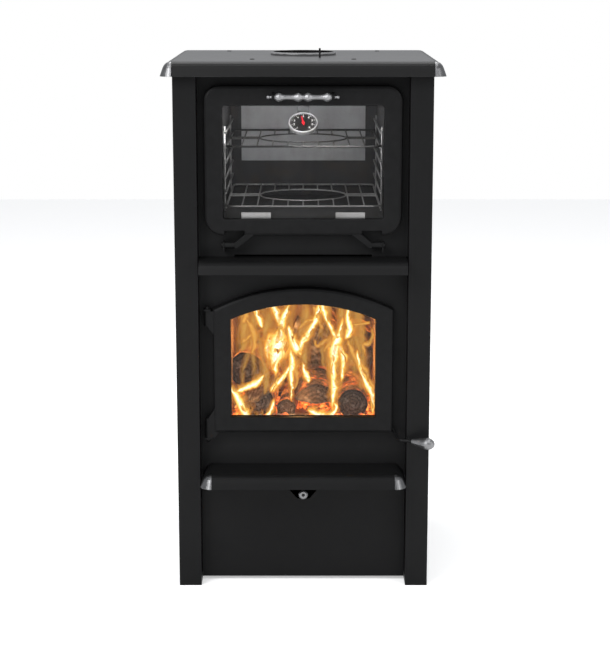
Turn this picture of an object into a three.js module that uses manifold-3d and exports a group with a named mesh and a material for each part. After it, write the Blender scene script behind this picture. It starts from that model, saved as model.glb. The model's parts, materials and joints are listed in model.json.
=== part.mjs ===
// Wood-burning cookstove: a glazed oven over an arched-door firebox, on four folded posts.
// Units are millimetres, +Z is up and the doors face -Y. While it is modelled, y = 0 is the
// plane of the front posts' faces; the finished group is then moved to its reference point,
// the middle of the stove's outline on the floor.

import * as THREE from "three";
import { mergeVertices } from "three/addons/utils/BufferGeometryUtils.js";
import Module from "manifold-3d";

const wasm = await Module();
wasm.setup();

// ------------------------------------------------------------------ driving dimensions

// Fits
const seat = 0.3; // gap between two pieces that touch
const bore = 0.35; // radial play of a pin in its bore

// Body
const bodyWidth = 610;
const bodyDepth = 562;
const cooktopHeight = 1281;
const bodySheet = 3;
const postWidth = 54;
const postDepth = 70;
const panelSetback = 45; // the front panels lie this far behind the posts' faces
const panelGroundGap = 14;
const sidePanelFlange = 14;

// Cooktop and the rolled edge that it shares with the ledges
const cooktopPlate = 6;
const cooktopRearLip = 4;
const edgeOut = 27.7;
const edgeRadius = 22;
const edgeSweep = 72; // degrees of arc before the edge runs straight down
const cooktopEdgeDrop = 34;
const capProud = 0.6; // the nickel corner caps stand this far out from the rolled edges

// Flue collar and bypass damper
const flueRadius = 75;
const flueWall = 6;
const flueRise = 8.4;
const flueRearGap = 248; // stove's rear to the flue's middle
const flueSkirt = 19; // collar below the cooktop plate
const flueFlange = 14;
const flueFlangePlate = 5;
const damperX = 40;
const damperAhead = 143; // the rod stands this far in front of the flue's middle
const damperRodRadius = 2.3;
const damperRodRise = 23;
const damperHoleRadius = 30;
const damperLap = 5;
const damperPlate = 3;
const smokeTrayRise = 32; // the tray that the damper closes stands this far above the oven
const smokeTrayFront = 12; // front panel to the tray
const smokeTrayBack = 40; // the tray ends this far in front of the oven's rear wall

// Oven lining
const ovenSideGap = 113; // stove's side to the inside of the oven
const ovenRearGap = 52;
const ovenUnderCooktop = 86;
const ovenHeight = 290;
const ovenWall = 3;
const ovenShieldInset = 29;
const ovenShieldPlate = 1.5;
const ovenShieldGap = 6;
const ovenShieldHeight = 199; // down from the oven's ceiling

// Racks and their ladders
const rackWire = 2.5; // wire radius
const rackThinWire = 1.8;
const rackFrontGap = 14; // front panel to the rack
const rackRearGap = 10.5; // rack to the oven's back shield
const rackCorner = 16;
const rackThinWires = 9;
const rackHoleRadius = 108;
const rackCrossGap = 16; // the cross wires lie this far to each side of the middle
const lowerRackRise = 29;
const rackPitch = 35.8;
const upperRackStep = 4; // ladder steps between the racks
const ladderSteps = 6;
const ladderInset = 50; // ends of a rack to the ladder's uprights
const ladderWire = 2.5;
const ladderWeld = 1; // how far the rungs sink into the uprights
const ladderOverrun = 12; // uprights past the last rungs
const rungOverhang = 34; // rungs past the uprights

// Oven thermometer
const dialRadius = 37;
const dialRim = 3.4;
const dialDepth = 12;
const dialWell = 3.2;
const dialEase = 1; // eased edges of the rim
const dialTilt = 53; // degrees: the dial looks up from the horizontal by this much
const dialRearGap = 248; // oven's rear wall to the dial's middle
const dialDrop = 76.5; // oven's ceiling to the dial's middle
const dialStrapWidth = 30;
const dialStrapPlate = 1.5;
const dialStrapTab = 26; // strap along the oven's ceiling
const needleLength = 26;
const needleTail = 9;
const needlePlate = 1;
const needleHubRadius = 4;
const needlePinRadius = 1.2;
const needleAngle = 11; // degrees left of straight up

// Doors
const doorProud = 28; // a door's outer face stands this far in front of its panel
const doorEdgeRound = 7;
const windowEdgeRound = 3;
const glassRebate = 6;
const glassPlate = 4;
const frameFlange = 9; // metal in front of the glass
const gasketWidth = 8;
const gasketOffset = 11; // window edge to the gasket groove
const gasketDepth = 6.5;

// Oven door
const ovenWindowSide = 2; // the window stops this far inside the oven's walls
const ovenWindowRise = 4.6;
const ovenWindowDrop = 18;
const ovenWindowCorner = 6;
const ovenFrameSide = 44.5;
const ovenFrameBottom = 39.6;
const ovenFrameTop = 47;
const ovenDoorCornerTop = 37;
const ovenDoorCornerBottom = 46;
const glassClipInset = 43;
const glassClipLength = 70;
const glassClipHeight = 20;
const glassClipPlate = 2;

// Oven door hinges
const ovenHingeDrop = 24.5; // door's lower edge to the hinge axis
const ovenHingeSetback = 9; // door face to the hinge axis
const ovenBarrelRadius = 8;
const ovenBarrelInset = 47.2; // door's side to the barrel's outer end
const ovenBarrelLength = 30;
const ovenArmSlope = 18.3; // the arm slopes out by this much from its root to the barrel
const ovenArmWidth = 23;
const ovenPinRadius = 4;
const ovenLugPlate = 4;
const ovenLugHead = 4;
const ovenLugDrop = 15;
const ovenLugFoot = 9;
const ovenNotchRise = 12; // the door's edge is notched this high over the barrels

// Oven door handle
const handleDrop = 23.7; // door's upper edge to the handle
const handleStandoff = 42; // door face to the grip's axis
const handlePostX = 70;
const handlePostPlate = 6.2;
const handlePostWidth = 13;
const handleRodRadius = 3;
const gripLargest = 11;
const gripNeck = 5.8;
const gripBeadInner = 11;
const gripBeadSlope = 10.5;
const gripBeadEnd = 10.1; // outer bead to the grip's end
const finialRadius = 4.6;
const finialLength = 12;

// Ledges
const middleLedgeDrop = 55.5; // oven door's lower edge to the ledge
const ledgePlate = 4;
const ledgeEdgeDrop = 30;
const middleLedgeFlat = 58; // panel face to the start of the rolled edge
const hearthHeight = 300.5; // floor to the hearth
const hearthDrop = 84.5; // firebox door's lower edge to the hearth
const hearthFlat = 98;
const ledgeEndGap = 3.8; // from a ledge's end to the post beside it
const ledgeTongue = 15; // how far the middle ledge runs back between the panels
const hearthFlange = 32;
const drainSlotInset = 27; // oven's side to the end of the slot over the ledge
const drainSlotHeight = 5;

// Firebox door
const fireDoorDrop = 71.7; // ledge to the top of the door's arch
const fireDoorRise = 52.8; // height of the arch itself
const fireDoorSideGap = 88; // stove's side to the door's side
const fireFrameSide = 43;
const fireFrameBottom = 39;
const fireFrameTop = 40;
const fireWindowLip = 2; // the panel's opening is this much wider than the window
const fireHingeOffset = 14; // door's side to the hinge axis
const fireHingeSetback = 11; // door face to the hinge axis
const fireBarrelRadius = 8;
const firePinRadius = 3;
const firePinHead = 7;
const fireLugPlate = 4;
const upperEarDrop = 4.5; // foot of the arch to the ear's top
const upperEarLength = 36.8;
const upperEarSlope = 22.1;
const upperPinLength = 33;
const lowerEarLength = 49;
const lowerEarSlope = 25.4;
const lowerEarOverhang = 14; // the ear's end below the door's lower edge
const lowerPinLength = 44;

// Firebox
const shellSideGap = 103; // stove's side to the inside of the firebox
const shellRearGap = 81;
const shellUnderLedge = 28.5;
const shellFloorDrop = 10; // door's lower edge to the firebox's floor
const shellWall = 4;
const brick = 25;
const brickFrontGap = 4;
const brickTopGap = 51.3; // firebox's top to the top of the brick walls
const brickJoint = 2.4;
const brickCourses = 3;
const baffleSetback = 78; // front of the bricks to the flame baffle
const bafflePlate = 20;
const smokeSlotLength = 71;
const smokeSlotRear = 10;
const smokeSlotSide = 40;
const grateHalf = 104;
const grateRearGap = 96.3;
const grateThickness = 20;
const grateBars = 8;
const grateLap = 9;
const chuteDrop = 150;
const chuteWall = 3;

// Firebox door latch
const latchInset = 8; // door's side to the spindle
const latchRise = 17; // door's lower edge to the spindle
const latchHubRadius = 6.5;
const latchHubLength = 14.4;
const latchSpindleRadius = 3;
const latchSpindleLength = 7;
const latchRodRadius = 4;
const latchRodSetback = 4.5; // hub's front to the rod's axis
const latchShoulderX = 11; // spindle to the rod's first bend
const latchShoulderDrop = 14;
const latchKneeX = 18; // spindle to the bend where the rod comes forward
const latchKneeForward = 16;
const latchKneeRise = 2.5;
const latchElbowX = 28; // grip's root to the rod's last bend
const latchRodLead = 12; // straight rod in front of the grip
const latchPocketWidth = 22;
const latchPocketHeight = 39;
const latchPocketWall = 12;
const latchToothTip = 16;
const latchToothPoint = 2;
const latchToothWidth = 6;
const latchToothPlate = 3.6;
const keeperLap = 1.4; // how far the keeper reaches past the tooth's far side
const keeperRise = 9; // spindle to the keeper's lower side
const keeperHeight = 8;
const keeperPlate = 4;
const gripDrop = 28.5; // spindle to the grip's axis
const gripReach = 53; // spindle to the grip's root
const gripStandoff = 19.9; // posts' faces to the grip's root
const gripYaw = 30; // degrees the chrome grip turns out from the stove
const latchGripLength = 60;
const latchGripRoot = 6.2;
const latchGripBulb = 14.7;

// Ash drawer
const drawerFace = 40; // the drawer front lies this far behind the posts' faces
const drawerSideGap = 1;
const drawerBottom = 10;
const drawerUnderHearth = 38.5;
const drawerReturn = 12;
const notchBottomHalf = 15;
const notchTopHalf = 58;
const notchDepth = 51;
const panSideGap = 80; // stove's side to the pan
const panRearGap = 92;
const panBottom = 60.3;
const panUnderChute = 20;
const panWall = 2;
const runnerWall = 3;
const runnerLedge = 23;
const runnerRise = 15;
const panelToDrawerGap = 2;

// Air control
const airRodDrop = 18; // top of the drawer front to the rod
const airRodRadius = 4;
const airKnobRadius = 11;
const airKnobLength = 14;
const airKnobFront = -38;
const airKnobSocket = 6;
const airBoxHalf = 60;
const airBoxSetback = 12; // front panel to the duct
const airBoxLength = 115;
const airBoxWall = 2;
const airPortHalf = 30;
const airPortSetback = 52; // front of the duct to the port
const airPortLength = 40;
const sliderHalf = 41;
const sliderSetback = 32;
const sliderLength = 76;
const sliderPlate = 3.7;
const sliderLug = 8;
const railLip = 2;
const railLap = 5;
const chuteGap = 17.3; // duct to the ash chute behind it

// Rear panel vents
const ventPitch = 46;
const ventMargin = 60; // panel's side to the first vent
const ventWidth = 7;
const ventHeight = 60;
const ventLowRise = 56;
const ventTopDrop = 64.7;

// ------------------------------------------------------------------ derived positions

const fullTurn = 2 * Math.PI;
const degree = Math.PI / 180;
const beyond = 2 * (bodyWidth + cooktopHeight); // farther out than any face of the stove

const halfBody = bodyWidth / 2;
const postInner = halfBody - postWidth;
const bodyTop = cooktopHeight - cooktopPlate - seat;
const cooktopBack = bodyDepth + cooktopRearLip;
const panelFace = panelSetback;
const panelBack = panelFace + bodySheet;
const panelHalf = postInner - seat;
const doorFace = panelFace - doorProud;
const doorBack = panelFace - seat;

const ovenHalf = halfBody - ovenSideGap;
const ovenBack = bodyDepth - ovenRearGap;
const ovenCeiling = cooktopHeight - ovenUnderCooktop;
const ovenFloor = ovenCeiling - ovenHeight;
const ovenShieldHalf = ovenHalf - ovenShieldInset;
const ovenShieldFace = ovenBack - ovenShieldGap - ovenShieldPlate;
const baffleZ = ovenCeiling + ovenWall + seat;
const flueY = bodyDepth - flueRearGap;
const damperY = flueY - damperAhead;

const rackFrontY = panelBack + rackFrontGap;
const rackBackY = ovenShieldFace - rackRearGap;
const ladderFrontY = rackFrontY + ladderInset;
const ladderBackY = rackBackY - ladderInset;
const lowerRackZ = ovenFloor + lowerRackRise;
const dialY = ovenBack - dialRearGap;
const dialZ = ovenCeiling - dialDrop;

const ovenWindowHalf = ovenHalf - ovenWindowSide;
const ovenWindowBottom = ovenFloor + ovenWindowRise;
const ovenWindowTop = ovenCeiling - ovenWindowDrop;
const ovenDoorHalf = ovenWindowHalf + ovenFrameSide;
const ovenDoorBottom = ovenWindowBottom - ovenFrameBottom;
const ovenDoorTop = ovenWindowTop + ovenFrameTop;
const glassClipX1 = ovenWindowHalf - glassClipInset;
const glassClipX0 = glassClipX1 - glassClipLength;
const ovenHingeZ = ovenDoorBottom - ovenHingeDrop;
const ovenHingeY = doorFace + ovenHingeSetback;
const ovenBarrelX1 = ovenDoorHalf - ovenBarrelInset;
const ovenBarrelX0 = ovenBarrelX1 - ovenBarrelLength;
const ovenArmRootX1 = ovenBarrelX0 - ovenArmSlope;
const ovenArmRootX0 = ovenArmRootX1 - ovenArmWidth;
const ovenNotchTop = ovenDoorBottom + ovenNotchRise;
const handleY = doorFace - handleStandoff;
const handleZ = ovenDoorTop - handleDrop;

const middleLedgeTop = ovenDoorBottom - middleLedgeDrop;
const ledgeEnd = postInner - ledgeEndGap;
const drainSlotHalf = ovenHalf - drainSlotInset;

const hearthFlatHalf = ledgeEnd - edgeOut;
const hearthFront = panelFace - hearthFlat - edgeOut - capProud;

const fireDoorPeak = middleLedgeTop - fireDoorDrop;
const fireDoorSpring = fireDoorPeak - fireDoorRise; // where the arch meets the door's side
const fireDoorBottom = hearthHeight + hearthDrop;
const fireDoorHalf = halfBody - fireDoorSideGap;
const fireWindowHalf = fireDoorHalf - fireFrameSide;
const fireWindowBottom = fireDoorBottom + fireFrameBottom;
const fireHingeX = -fireDoorHalf - fireHingeOffset;
const fireHingeY = doorFace + fireHingeSetback;
const upperEarTop = fireDoorSpring - upperEarDrop;
const upperEarBottom = upperEarTop - upperEarLength;
const upperEarRoot = upperEarBottom - upperEarSlope;
const lowerEarBottom = fireDoorBottom - lowerEarOverhang;
const lowerEarTop = lowerEarBottom + lowerEarLength;
const lowerEarRoot = lowerEarTop + lowerEarSlope;

const shellHalf = halfBody - shellSideGap;
const shellBack = bodyDepth - shellRearGap;
const shellTop = middleLedgeTop - shellUnderLedge;
const shellFloor = fireDoorBottom - shellFloorDrop;
const brickFront = panelBack + brickFrontGap;
const brickTop = shellTop - brickTopGap;
const baffleFront = brickFront + baffleSetback;

const latchX = fireDoorHalf - latchInset;
const latchZ = fireDoorBottom + latchRise;
const keeperBottom = latchZ + keeperRise;
const gripAxisZ = latchZ - gripDrop;
const gripStartX = latchX + gripReach;
const gripStartY = -gripStandoff;

const drawerTop = hearthHeight - drawerUnderHearth;
const drawerHalf = postInner - drawerSideGap;
const notchBottom = drawerTop - notchDepth;
const airRodZ = drawerTop - airRodDrop;
const airBoxBottom = drawerTop;
const airBoxFront = panelBack + airBoxSetback;
const airBoxBack = airBoxFront + airBoxLength;
const airPortFront = airBoxFront + airPortSetback;
const airPortBack = airPortFront + airPortLength;
const sliderFront = airBoxFront + sliderSetback;
const sliderBack = sliderFront + sliderLength;

const grateFront = airBoxBack + chuteGap + chuteWall;
const grateBack = shellBack - grateRearGap;
const chuteBottom = shellFloor - chuteDrop;
const panHalf = halfBody - panSideGap;
const panBack = bodyDepth - panRearGap;
const panTop = chuteBottom - panUnderChute;

// ------------------------------------------------------------------ finishes

const finish = (color, roughness, metalness) =>
  new THREE.MeshStandardMaterial({ color, roughness, metalness });
const stovePaint = finish(0x262626, 0.55, 0.3);
const panelPaint = finish(0x1f1f1f, 0.6, 0.3);
const castIron = finish(0x252525, 0.6, 0.4);
const plateSteel = finish(0x3a3a3b, 0.5, 0.6);
const nickel = finish(0xc8c9cc, 0.15, 1);
const stainless = finish(0xa9abb0, 0.3, 1);
const wireSteel = finish(0x9a9c9f, 0.3, 1);
const ovenSteel = finish(0x6c6d70, 0.4, 0.8);
const firebrick = finish(0xb39a74, 0.9, 0);
const fibreRope = finish(0x8d8a83, 0.95, 0);
const ceramicGlass = new THREE.MeshStandardMaterial({
  color: 0x2a2826,
  roughness: 0.05,
  metalness: 0,
  transparent: true,
  opacity: 0.3,
});
const dialBlack = finish(0x101010, 0.4, 0);
const needleRed = finish(0xb01522, 0.4, 0);

// ------------------------------------------------------------------ solids and helpers

/** A closed geometry as a solid that can be joined and cut. */
function solid(geometry) {
  const loose = geometry.index ? geometry.toNonIndexed() : geometry;
  const bare = new THREE.BufferGeometry().setAttribute(
    "position",
    loose.getAttribute("position"),
  );
  const merged = mergeVertices(bare, 1e-3);
  return new wasm.Manifold(
    new wasm.Mesh({
      numProp: 3,
      vertProperties: merged.attributes.position.array,
      triVerts: new Uint32Array(merged.index.array),
    }),
  );
}

/** The drawable geometry of a solid. */
function geometryOf(body) {
  const mesh = body.getMesh();
  const geometry = new THREE.BufferGeometry();
  geometry.setAttribute(
    "position",
    new THREE.BufferAttribute(new Float32Array(mesh.vertProperties), 3),
  );
  geometry.setIndex(new THREE.BufferAttribute(new Uint32Array(mesh.triVerts), 1));
  geometry.computeVertexNormals();
  return geometry;
}

const join = (...bodies) => bodies.reduce((sum, body) => sum.add(body));
const at = (x, y, z) => new THREE.Vector3(x, y, z);

const stove = new THREE.Group();

/** Adds one named piece to the stove. */
function piece(name, body, material) {
  const mesh = new THREE.Mesh(geometryOf(body), material);
  mesh.name = name;
  stove.add(mesh);
}

/** A box between two corners. */
function block(x0, x1, y0, y1, z0, z1) {
  const geometry = new THREE.BoxGeometry(x1 - x0, y1 - y0, z1 - z0);
  geometry.translate((x0 + x1) / 2, (y0 + y1) / 2, (z0 + z1) / 2);
  return solid(geometry);
}

/** A box between x limits given for the right side, on the right (side 1) or mirrored (-1). */
function sideBlock(side, x0, x1, ...rest) {
  return side > 0 ? block(x0, x1, ...rest) : block(-x1, -x0, ...rest);
}

/** A round bar from one point to another. */
function bar(from, to, radius, sides = 12) {
  const run = to.clone().sub(from);
  const geometry = new THREE.CylinderGeometry(radius, radius, run.length(), sides);
  const turn = new THREE.Quaternion().setFromUnitVectors(
    at(0, 1, 0),
    run.clone().normalize(),
  );
  geometry.applyQuaternion(turn);
  const middle = from.clone().add(to).multiplyScalar(0.5);
  geometry.translate(middle.x, middle.y, middle.z);
  return solid(geometry);
}

/**
 * A shape drawn as seen from the front (x across, y up), given thickness from yFront back to
 * yBack. A bevel rounds the edges of the front face only.
 */
function facing(shape, yFront, yBack, bevel = 0, curveSegments = 8) {
  const depth = yBack - yFront;
  const geometry = new THREE.ExtrudeGeometry(shape, {
    depth,
    bevelEnabled: bevel > 0,
    bevelThickness: bevel,
    bevelSize: bevel,
    bevelOffset: -bevel,
    bevelSegments: 2,
    curveSegments,
  });
  geometry.rotateX(Math.PI / 2);
  geometry.translate(0, yFront + depth + bevel, 0);
  const body = solid(geometry);
  if (bevel === 0) return body;
  return body.intersect(block(-beyond, beyond, yFront - 1, yBack, -beyond, beyond));
}

/** A shape drawn as seen from the right side (x = depth, y = up), extruded from x0 to x1. */
function sideways(shape, x0, x1, curveSegments = 6) {
  const geometry = new THREE.ExtrudeGeometry(shape, {
    depth: x1 - x0,
    bevelEnabled: false,
    curveSegments,
  });
  geometry.rotateX(Math.PI / 2);
  geometry.rotateZ(Math.PI / 2);
  geometry.translate(x0, 0, 0);
  return solid(geometry);
}

/** A profile of (radius, height) points turned about a vertical axis through (x, y). */
function turned(profile, x, y, facets = 24) {
  const points = profile.map(([radius, height]) => new THREE.Vector2(radius, height));
  const geometry = new THREE.LatheGeometry(points, facets);
  geometry.rotateX(Math.PI / 2);
  geometry.translate(x, y, 0);
  return solid(geometry);
}

/** A profile of (radius, distance) points turned about the line from a point along a direction. */
function turnedAlong(profile, from, direction, facets = 16) {
  const points = profile.map(([radius, distance]) => new THREE.Vector2(radius, distance));
  const geometry = new THREE.LatheGeometry(points, facets);
  geometry.applyQuaternion(
    new THREE.Quaternion().setFromUnitVectors(at(0, 1, 0), direction.clone().normalize()),
  );
  geometry.translate(from.x, from.y, from.z);
  return solid(geometry);
}

/** A round wire that closes on itself, through points that lie in a plane with this normal. */
function loopWire(points, normal, radius, sides = 8) {
  const positions = [];
  const index = [];
  const count = points.length;
  points.forEach((point, i) => {
    const before = points[(i + count - 1) % count];
    const after = points[(i + 1) % count];
    const intoPoint = point.clone().sub(before).normalize();
    const outOfPoint = after.clone().sub(point).normalize();
    const along = intoPoint.clone().add(outOfPoint).normalize();
    const mitre = 1 / along.dot(outOfPoint);
    const outward = along.clone().cross(normal);
    for (let j = 0; j < sides; j++) {
      const angle = (fullTurn * j) / sides;
      const vertex = point
        .clone()
        .addScaledVector(outward, radius * mitre * Math.cos(angle))
        .addScaledVector(normal, radius * Math.sin(angle));
      positions.push(vertex.x, vertex.y, vertex.z);
      const next = (i + 1) % count;
      const up = (j + 1) % sides;
      const a = i * sides + j;
      const b = next * sides + j;
      const c = next * sides + up;
      const d = i * sides + up;
      index.push(a, b, c, a, c, d);
    }
  });
  const geometry = new THREE.BufferGeometry();
  geometry.setAttribute("position", new THREE.Float32BufferAttribute(positions, 3));
  geometry.setIndex(index);
  return solid(geometry);
}

/** A rectangle with rounded corners, centred on x = 0, from z0 up to z1. */
function roundedRect(half, z0, z1, radiusTop, radiusBottom = radiusTop, Kind = THREE.Shape) {
  const shape = new Kind();
  const quarter = Math.PI / 2;
  const low = Math.max(radiusBottom, 0.01);
  const high = Math.max(radiusTop, 0.01);
  shape.absarc(half - low, z0 + low, low, -quarter, 0);
  shape.absarc(half - high, z1 - high, high, 0, quarter);
  shape.absarc(-half + high, z1 - high, high, quarter, 2 * quarter);
  shape.absarc(-half + low, z0 + low, low, 2 * quarter, 3 * quarter);
  shape.closePath();
  return shape;
}

/** A straight-sided outline through (x, y) points. */
function outline(...points) {
  return new THREE.Shape(points.map(([x, y]) => new THREE.Vector2(x, y)));
}

/** The same sheet-metal strip along a line of points, thick to the left of the way it runs. */
function strip(points, thickness) {
  const path = points.map(([x, y]) => new THREE.Vector2(x, y));
  const offset = path.map((point, i) => {
    const before = path[Math.max(i - 1, 0)];
    const after = path[Math.min(i + 1, path.length - 1)];
    const into = (i > 0 ? point.clone().sub(before) : after.clone().sub(point)).normalize();
    const out = (i < path.length - 1 ? after.clone().sub(point) : into.clone()).normalize();
    const left = new THREE.Vector2(-into.y - out.y, into.x + out.x).normalize();
    const widen = 1 / Math.max(left.dot(new THREE.Vector2(-into.y, into.x)), 0.2);
    return point.clone().addScaledVector(left, thickness * widen);
  });
  return new THREE.Shape([...path, ...offset.reverse()]);
}

/**
 * Section of a rolled edge: x runs outward and y up from the corner of the flat at (0, 0).
 * Returned as points for a turned corner, which starts and ends on the corner's axis.
 */
function rolledEdgeSection(drop, plate, proud = 0) {
  const arc = (radius, step) => {
    const angle = (90 - edgeSweep * step) * degree;
    return [radius * Math.cos(angle), radius * Math.sin(angle) - edgeRadius];
  };
  const steps = [0, 0.25, 0.5, 0.75, 1];
  const outer = steps.map((step) => arc(edgeRadius + proud, step));
  const inner = steps.map((step) => arc(edgeRadius - plate, step));
  return [
    ...inner,
    [edgeOut - plate, -drop],
    [edgeOut + proud, -drop],
    ...outer.reverse(),
  ];
}

/** A straight rolled edge, centred on (x, y) with its flat at height z, facing turn radians from +X. */
function rolledEdge(length, x, y, z, turn, drop, plate) {
  const root = 2; // runs under the flat, to be joined with it
  const section = rolledEdgeSection(drop, plate);
  const shape = outline([-root, -plate], ...section, [-root, 0]);
  const geometry = new THREE.ExtrudeGeometry(shape, { depth: length, bevelEnabled: false });
  geometry.translate(0, 0, -length / 2);
  geometry.rotateX(Math.PI / 2);
  geometry.rotateZ(turn);
  geometry.translate(x, y, z);
  return solid(geometry);
}

/** A quarter-round corner cap over the rolled edges that meet at (x, y). */
function cornerCap(side, x, y, z, drop, plate) {
  const profile = rolledEdgeSection(drop, plate, capProud);
  profile[0][0] = 0;
  profile[profile.length - 1][0] = 0;
  const lifted = profile.map(([radius, height]) => [radius, height + z]);
  const reach = edgeOut + 10;
  const quarter = sideBlock(side, x + seat, x + reach, y - reach, y - seat, z - drop - 1, z + 5);
  return turned(lifted, side * x, y, 36).intersect(quarter);
}

// ------------------------------------------------------------------ body shell

/** A folded channel post with a foot plate; end -1 is the front of the stove, 1 the rear. */
function post(side, end) {
  const y0 = end < 0 ? 0 : bodyDepth - postDepth;
  const y1 = y0 + postDepth;
  const hollowFront = end < 0 ? y0 + bodySheet : y0 - 1;
  const hollowBack = end < 0 ? y1 + 1 : y1 - bodySheet;
  const channel = sideBlock(side, postInner, halfBody, y0, y1, 0, bodyTop);
  const hollow = sideBlock(
    side,
    postInner + bodySheet,
    halfBody - bodySheet,
    hollowFront,
    hollowBack,
    bodySheet,
    bodyTop + 1,
  );
  return channel.subtract(hollow);
}

/** A side panel folded in on all four edges. */
function sidePanel(side) {
  const y0 = postDepth + seat;
  const y1 = bodyDepth - postDepth - seat;
  const pan = sideBlock(side, halfBody - sidePanelFlange, halfBody, y0, y1, panelGroundGap, bodyTop);
  const hollow = sideBlock(
    side,
    halfBody - sidePanelFlange - 1,
    halfBody - bodySheet,
    y0 + bodySheet,
    y1 - bodySheet,
    panelGroundGap + bodySheet,
    bodyTop - bodySheet,
  );
  return pan.subtract(hollow);
}

/** The rear panel, with a row of vents low down and another near the top. */
function backPanel() {
  const shape = outline(
    [-panelHalf, panelGroundGap],
    [panelHalf, panelGroundGap],
    [panelHalf, bodyTop],
    [-panelHalf, bodyTop],
  );
  const perSide = Math.floor((panelHalf - ventMargin) / ventPitch);
  for (const z of [panelGroundGap + ventLowRise, bodyTop - ventTopDrop - ventHeight]) {
    for (let i = -perSide; i <= perSide; i++) {
      const x = i * ventPitch;
      const vent = new THREE.Path();
      const radius = ventWidth / 2;
      vent.absarc(x, z + radius, radius, Math.PI, fullTurn);
      vent.absarc(x, z + ventHeight - radius, radius, 0, Math.PI);
      vent.closePath();
      shape.holes.push(vent);
    }
  }
  return facing(shape, bodyDepth - bodySheet, bodyDepth, 0, 2);
}

/** The floor of the stove, folded up on both sides into the ledges that carry the ash drawer. */
function basePlate() {
  const y0 = drawerFace + bodySheet + drawerReturn + 1;
  const y1 = bodyDepth - bodySheet - seat;
  const floor = block(-panelHalf, panelHalf, y0, y1, panelGroundGap, panelGroundGap + bodySheet);
  const wallX = panHalf + runnerWall;
  const ledgeTop = panBottom - seat;
  const wallTop = ledgeTop + runnerRise;
  const runners = [-1, 1].map((side) =>
    join(
      sideBlock(side, wallX, wallX + runnerWall, y0, y1, panelGroundGap, wallTop),
      sideBlock(side, wallX - runnerLedge, wallX + 1, y0, y1, ledgeTop - runnerWall, ledgeTop),
    ),
  );
  return join(floor, ...runners);
}

for (const [side, hand] of [[-1, "left"], [1, "right"]]) {
  piece(`${hand}_front_post`, post(side, -1), stovePaint);
  piece(`${hand}_rear_post`, post(side, 1), stovePaint);
  piece(`${hand}_side_panel`, sidePanel(side), stovePaint);
}
piece("back_panel", backPanel(), stovePaint);
piece("base_plate", basePlate(), panelPaint);

// ------------------------------------------------------------------ cooktop and flue

function cooktop() {
  const plate = block(-halfBody, halfBody, 0, cooktopBack, cooktopHeight - cooktopPlate, cooktopHeight);
  const front = rolledEdge(bodyWidth, 0, 0, cooktopHeight, -Math.PI / 2, cooktopEdgeDrop, cooktopPlate);
  const sides = [0, Math.PI].map((turn) =>
    rolledEdge(
      cooktopBack,
      halfBody * Math.cos(turn),
      cooktopBack / 2,
      cooktopHeight,
      turn,
      cooktopEdgeDrop,
      cooktopPlate,
    ),
  );
  const flueHole = bar(
    at(0, flueY, cooktopHeight - 2 * cooktopPlate),
    at(0, flueY, cooktopHeight + 1),
    flueRadius + flueWall + seat,
    36,
  );
  const rodHole = bar(
    at(damperX, damperY, cooktopHeight - 2 * cooktopPlate),
    at(damperX, damperY, cooktopHeight + 1),
    damperRodRadius + 2 * bore,
    16,
  );
  return join(plate, front, ...sides).subtract(flueHole).subtract(rodHole);
}

/** The flue collar drops through the cooktop and is held by a flange under the plate. */
function flueCollar() {
  const outer = flueRadius + flueWall;
  const under = cooktopHeight - cooktopPlate - seat;
  const low = under - flueSkirt;
  return turned(
    [
      [flueRadius, low],
      [outer, low],
      [outer, under - flueFlangePlate],
      [outer + flueFlange, under - flueFlangePlate],
      [outer + flueFlange, under],
      [outer, under],
      [outer, cooktopHeight + flueRise],
      [flueRadius, cooktopHeight + flueRise],
      [flueRadius, low],
    ],
    0,
    flueY,
    36,
  );
}

/** An upside-down tray on the oven that sends the smoke round it, with the bypass hole on top. */
function smokeBaffle() {
  const half = ovenHalf + ovenWall;
  const front = panelBack + smokeTrayFront;
  const back = ovenBack - smokeTrayBack;
  const top = baffleZ + smokeTrayRise;
  const tray = block(-half, half, front, back, baffleZ, top);
  const inner = half - bodySheet;
  const under = block(-inner, inner, front + bodySheet, back + 1, baffleZ - 1, top - bodySheet);
  const hole = bar(
    at(damperX, damperY, top - 2 * bodySheet),
    at(damperX, damperY, top + 1),
    damperHoleRadius,
    20,
  );
  return tray.subtract(under).subtract(hole);
}

/** The bypass damper: a disc over the hole in the smoke baffle, on a rod that lifts it. */
function bypassDamper() {
  const z0 = baffleZ + smokeTrayRise + seat;
  return turned(
    [
      [0, z0],
      [damperHoleRadius + damperLap, z0],
      [damperHoleRadius + damperLap, z0 + damperPlate],
      [damperRodRadius, z0 + damperPlate],
      [damperRodRadius, cooktopHeight + damperRodRise - 1],
      [damperRodRadius - 1, cooktopHeight + damperRodRise],
      [0, cooktopHeight + damperRodRise],
    ],
    damperX,
    damperY,
    20,
  );
}

piece("cooktop", cooktop(), plateSteel);
piece("flue_collar", flueCollar(), plateSteel);
piece("smoke_baffle", smokeBaffle(), ovenSteel);
piece("bypass_damper", bypassDamper(), castIron);
for (const [side, hand] of [[-1, "left"], [1, "right"]]) {
  piece(
    `cooktop_cap_${hand}`,
    cornerCap(side, halfBody, 0, cooktopHeight, cooktopEdgeDrop, cooktopPlate),
    nickel,
  );
}

// ------------------------------------------------------------------ front panels and ledges

// The arch of the firebox door and, round the same centre, the arch of its window.
const archRadius = (fireDoorHalf ** 2 + fireDoorRise ** 2) / (2 * fireDoorRise);
const archCentre = fireDoorPeak - archRadius;
const windowArchRadius = archRadius - fireFrameTop;

/** An opening or a door with straight sides under a low arch. */
function arched(half, bottom, radius, Kind = THREE.Shape) {
  const shape = new Kind();
  const angle = Math.acos(half / radius);
  shape.moveTo(-half, bottom);
  shape.lineTo(half, bottom);
  shape.absarc(0, archCentre, radius, angle, Math.PI - angle);
  shape.closePath();
  return shape;
}

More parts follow.
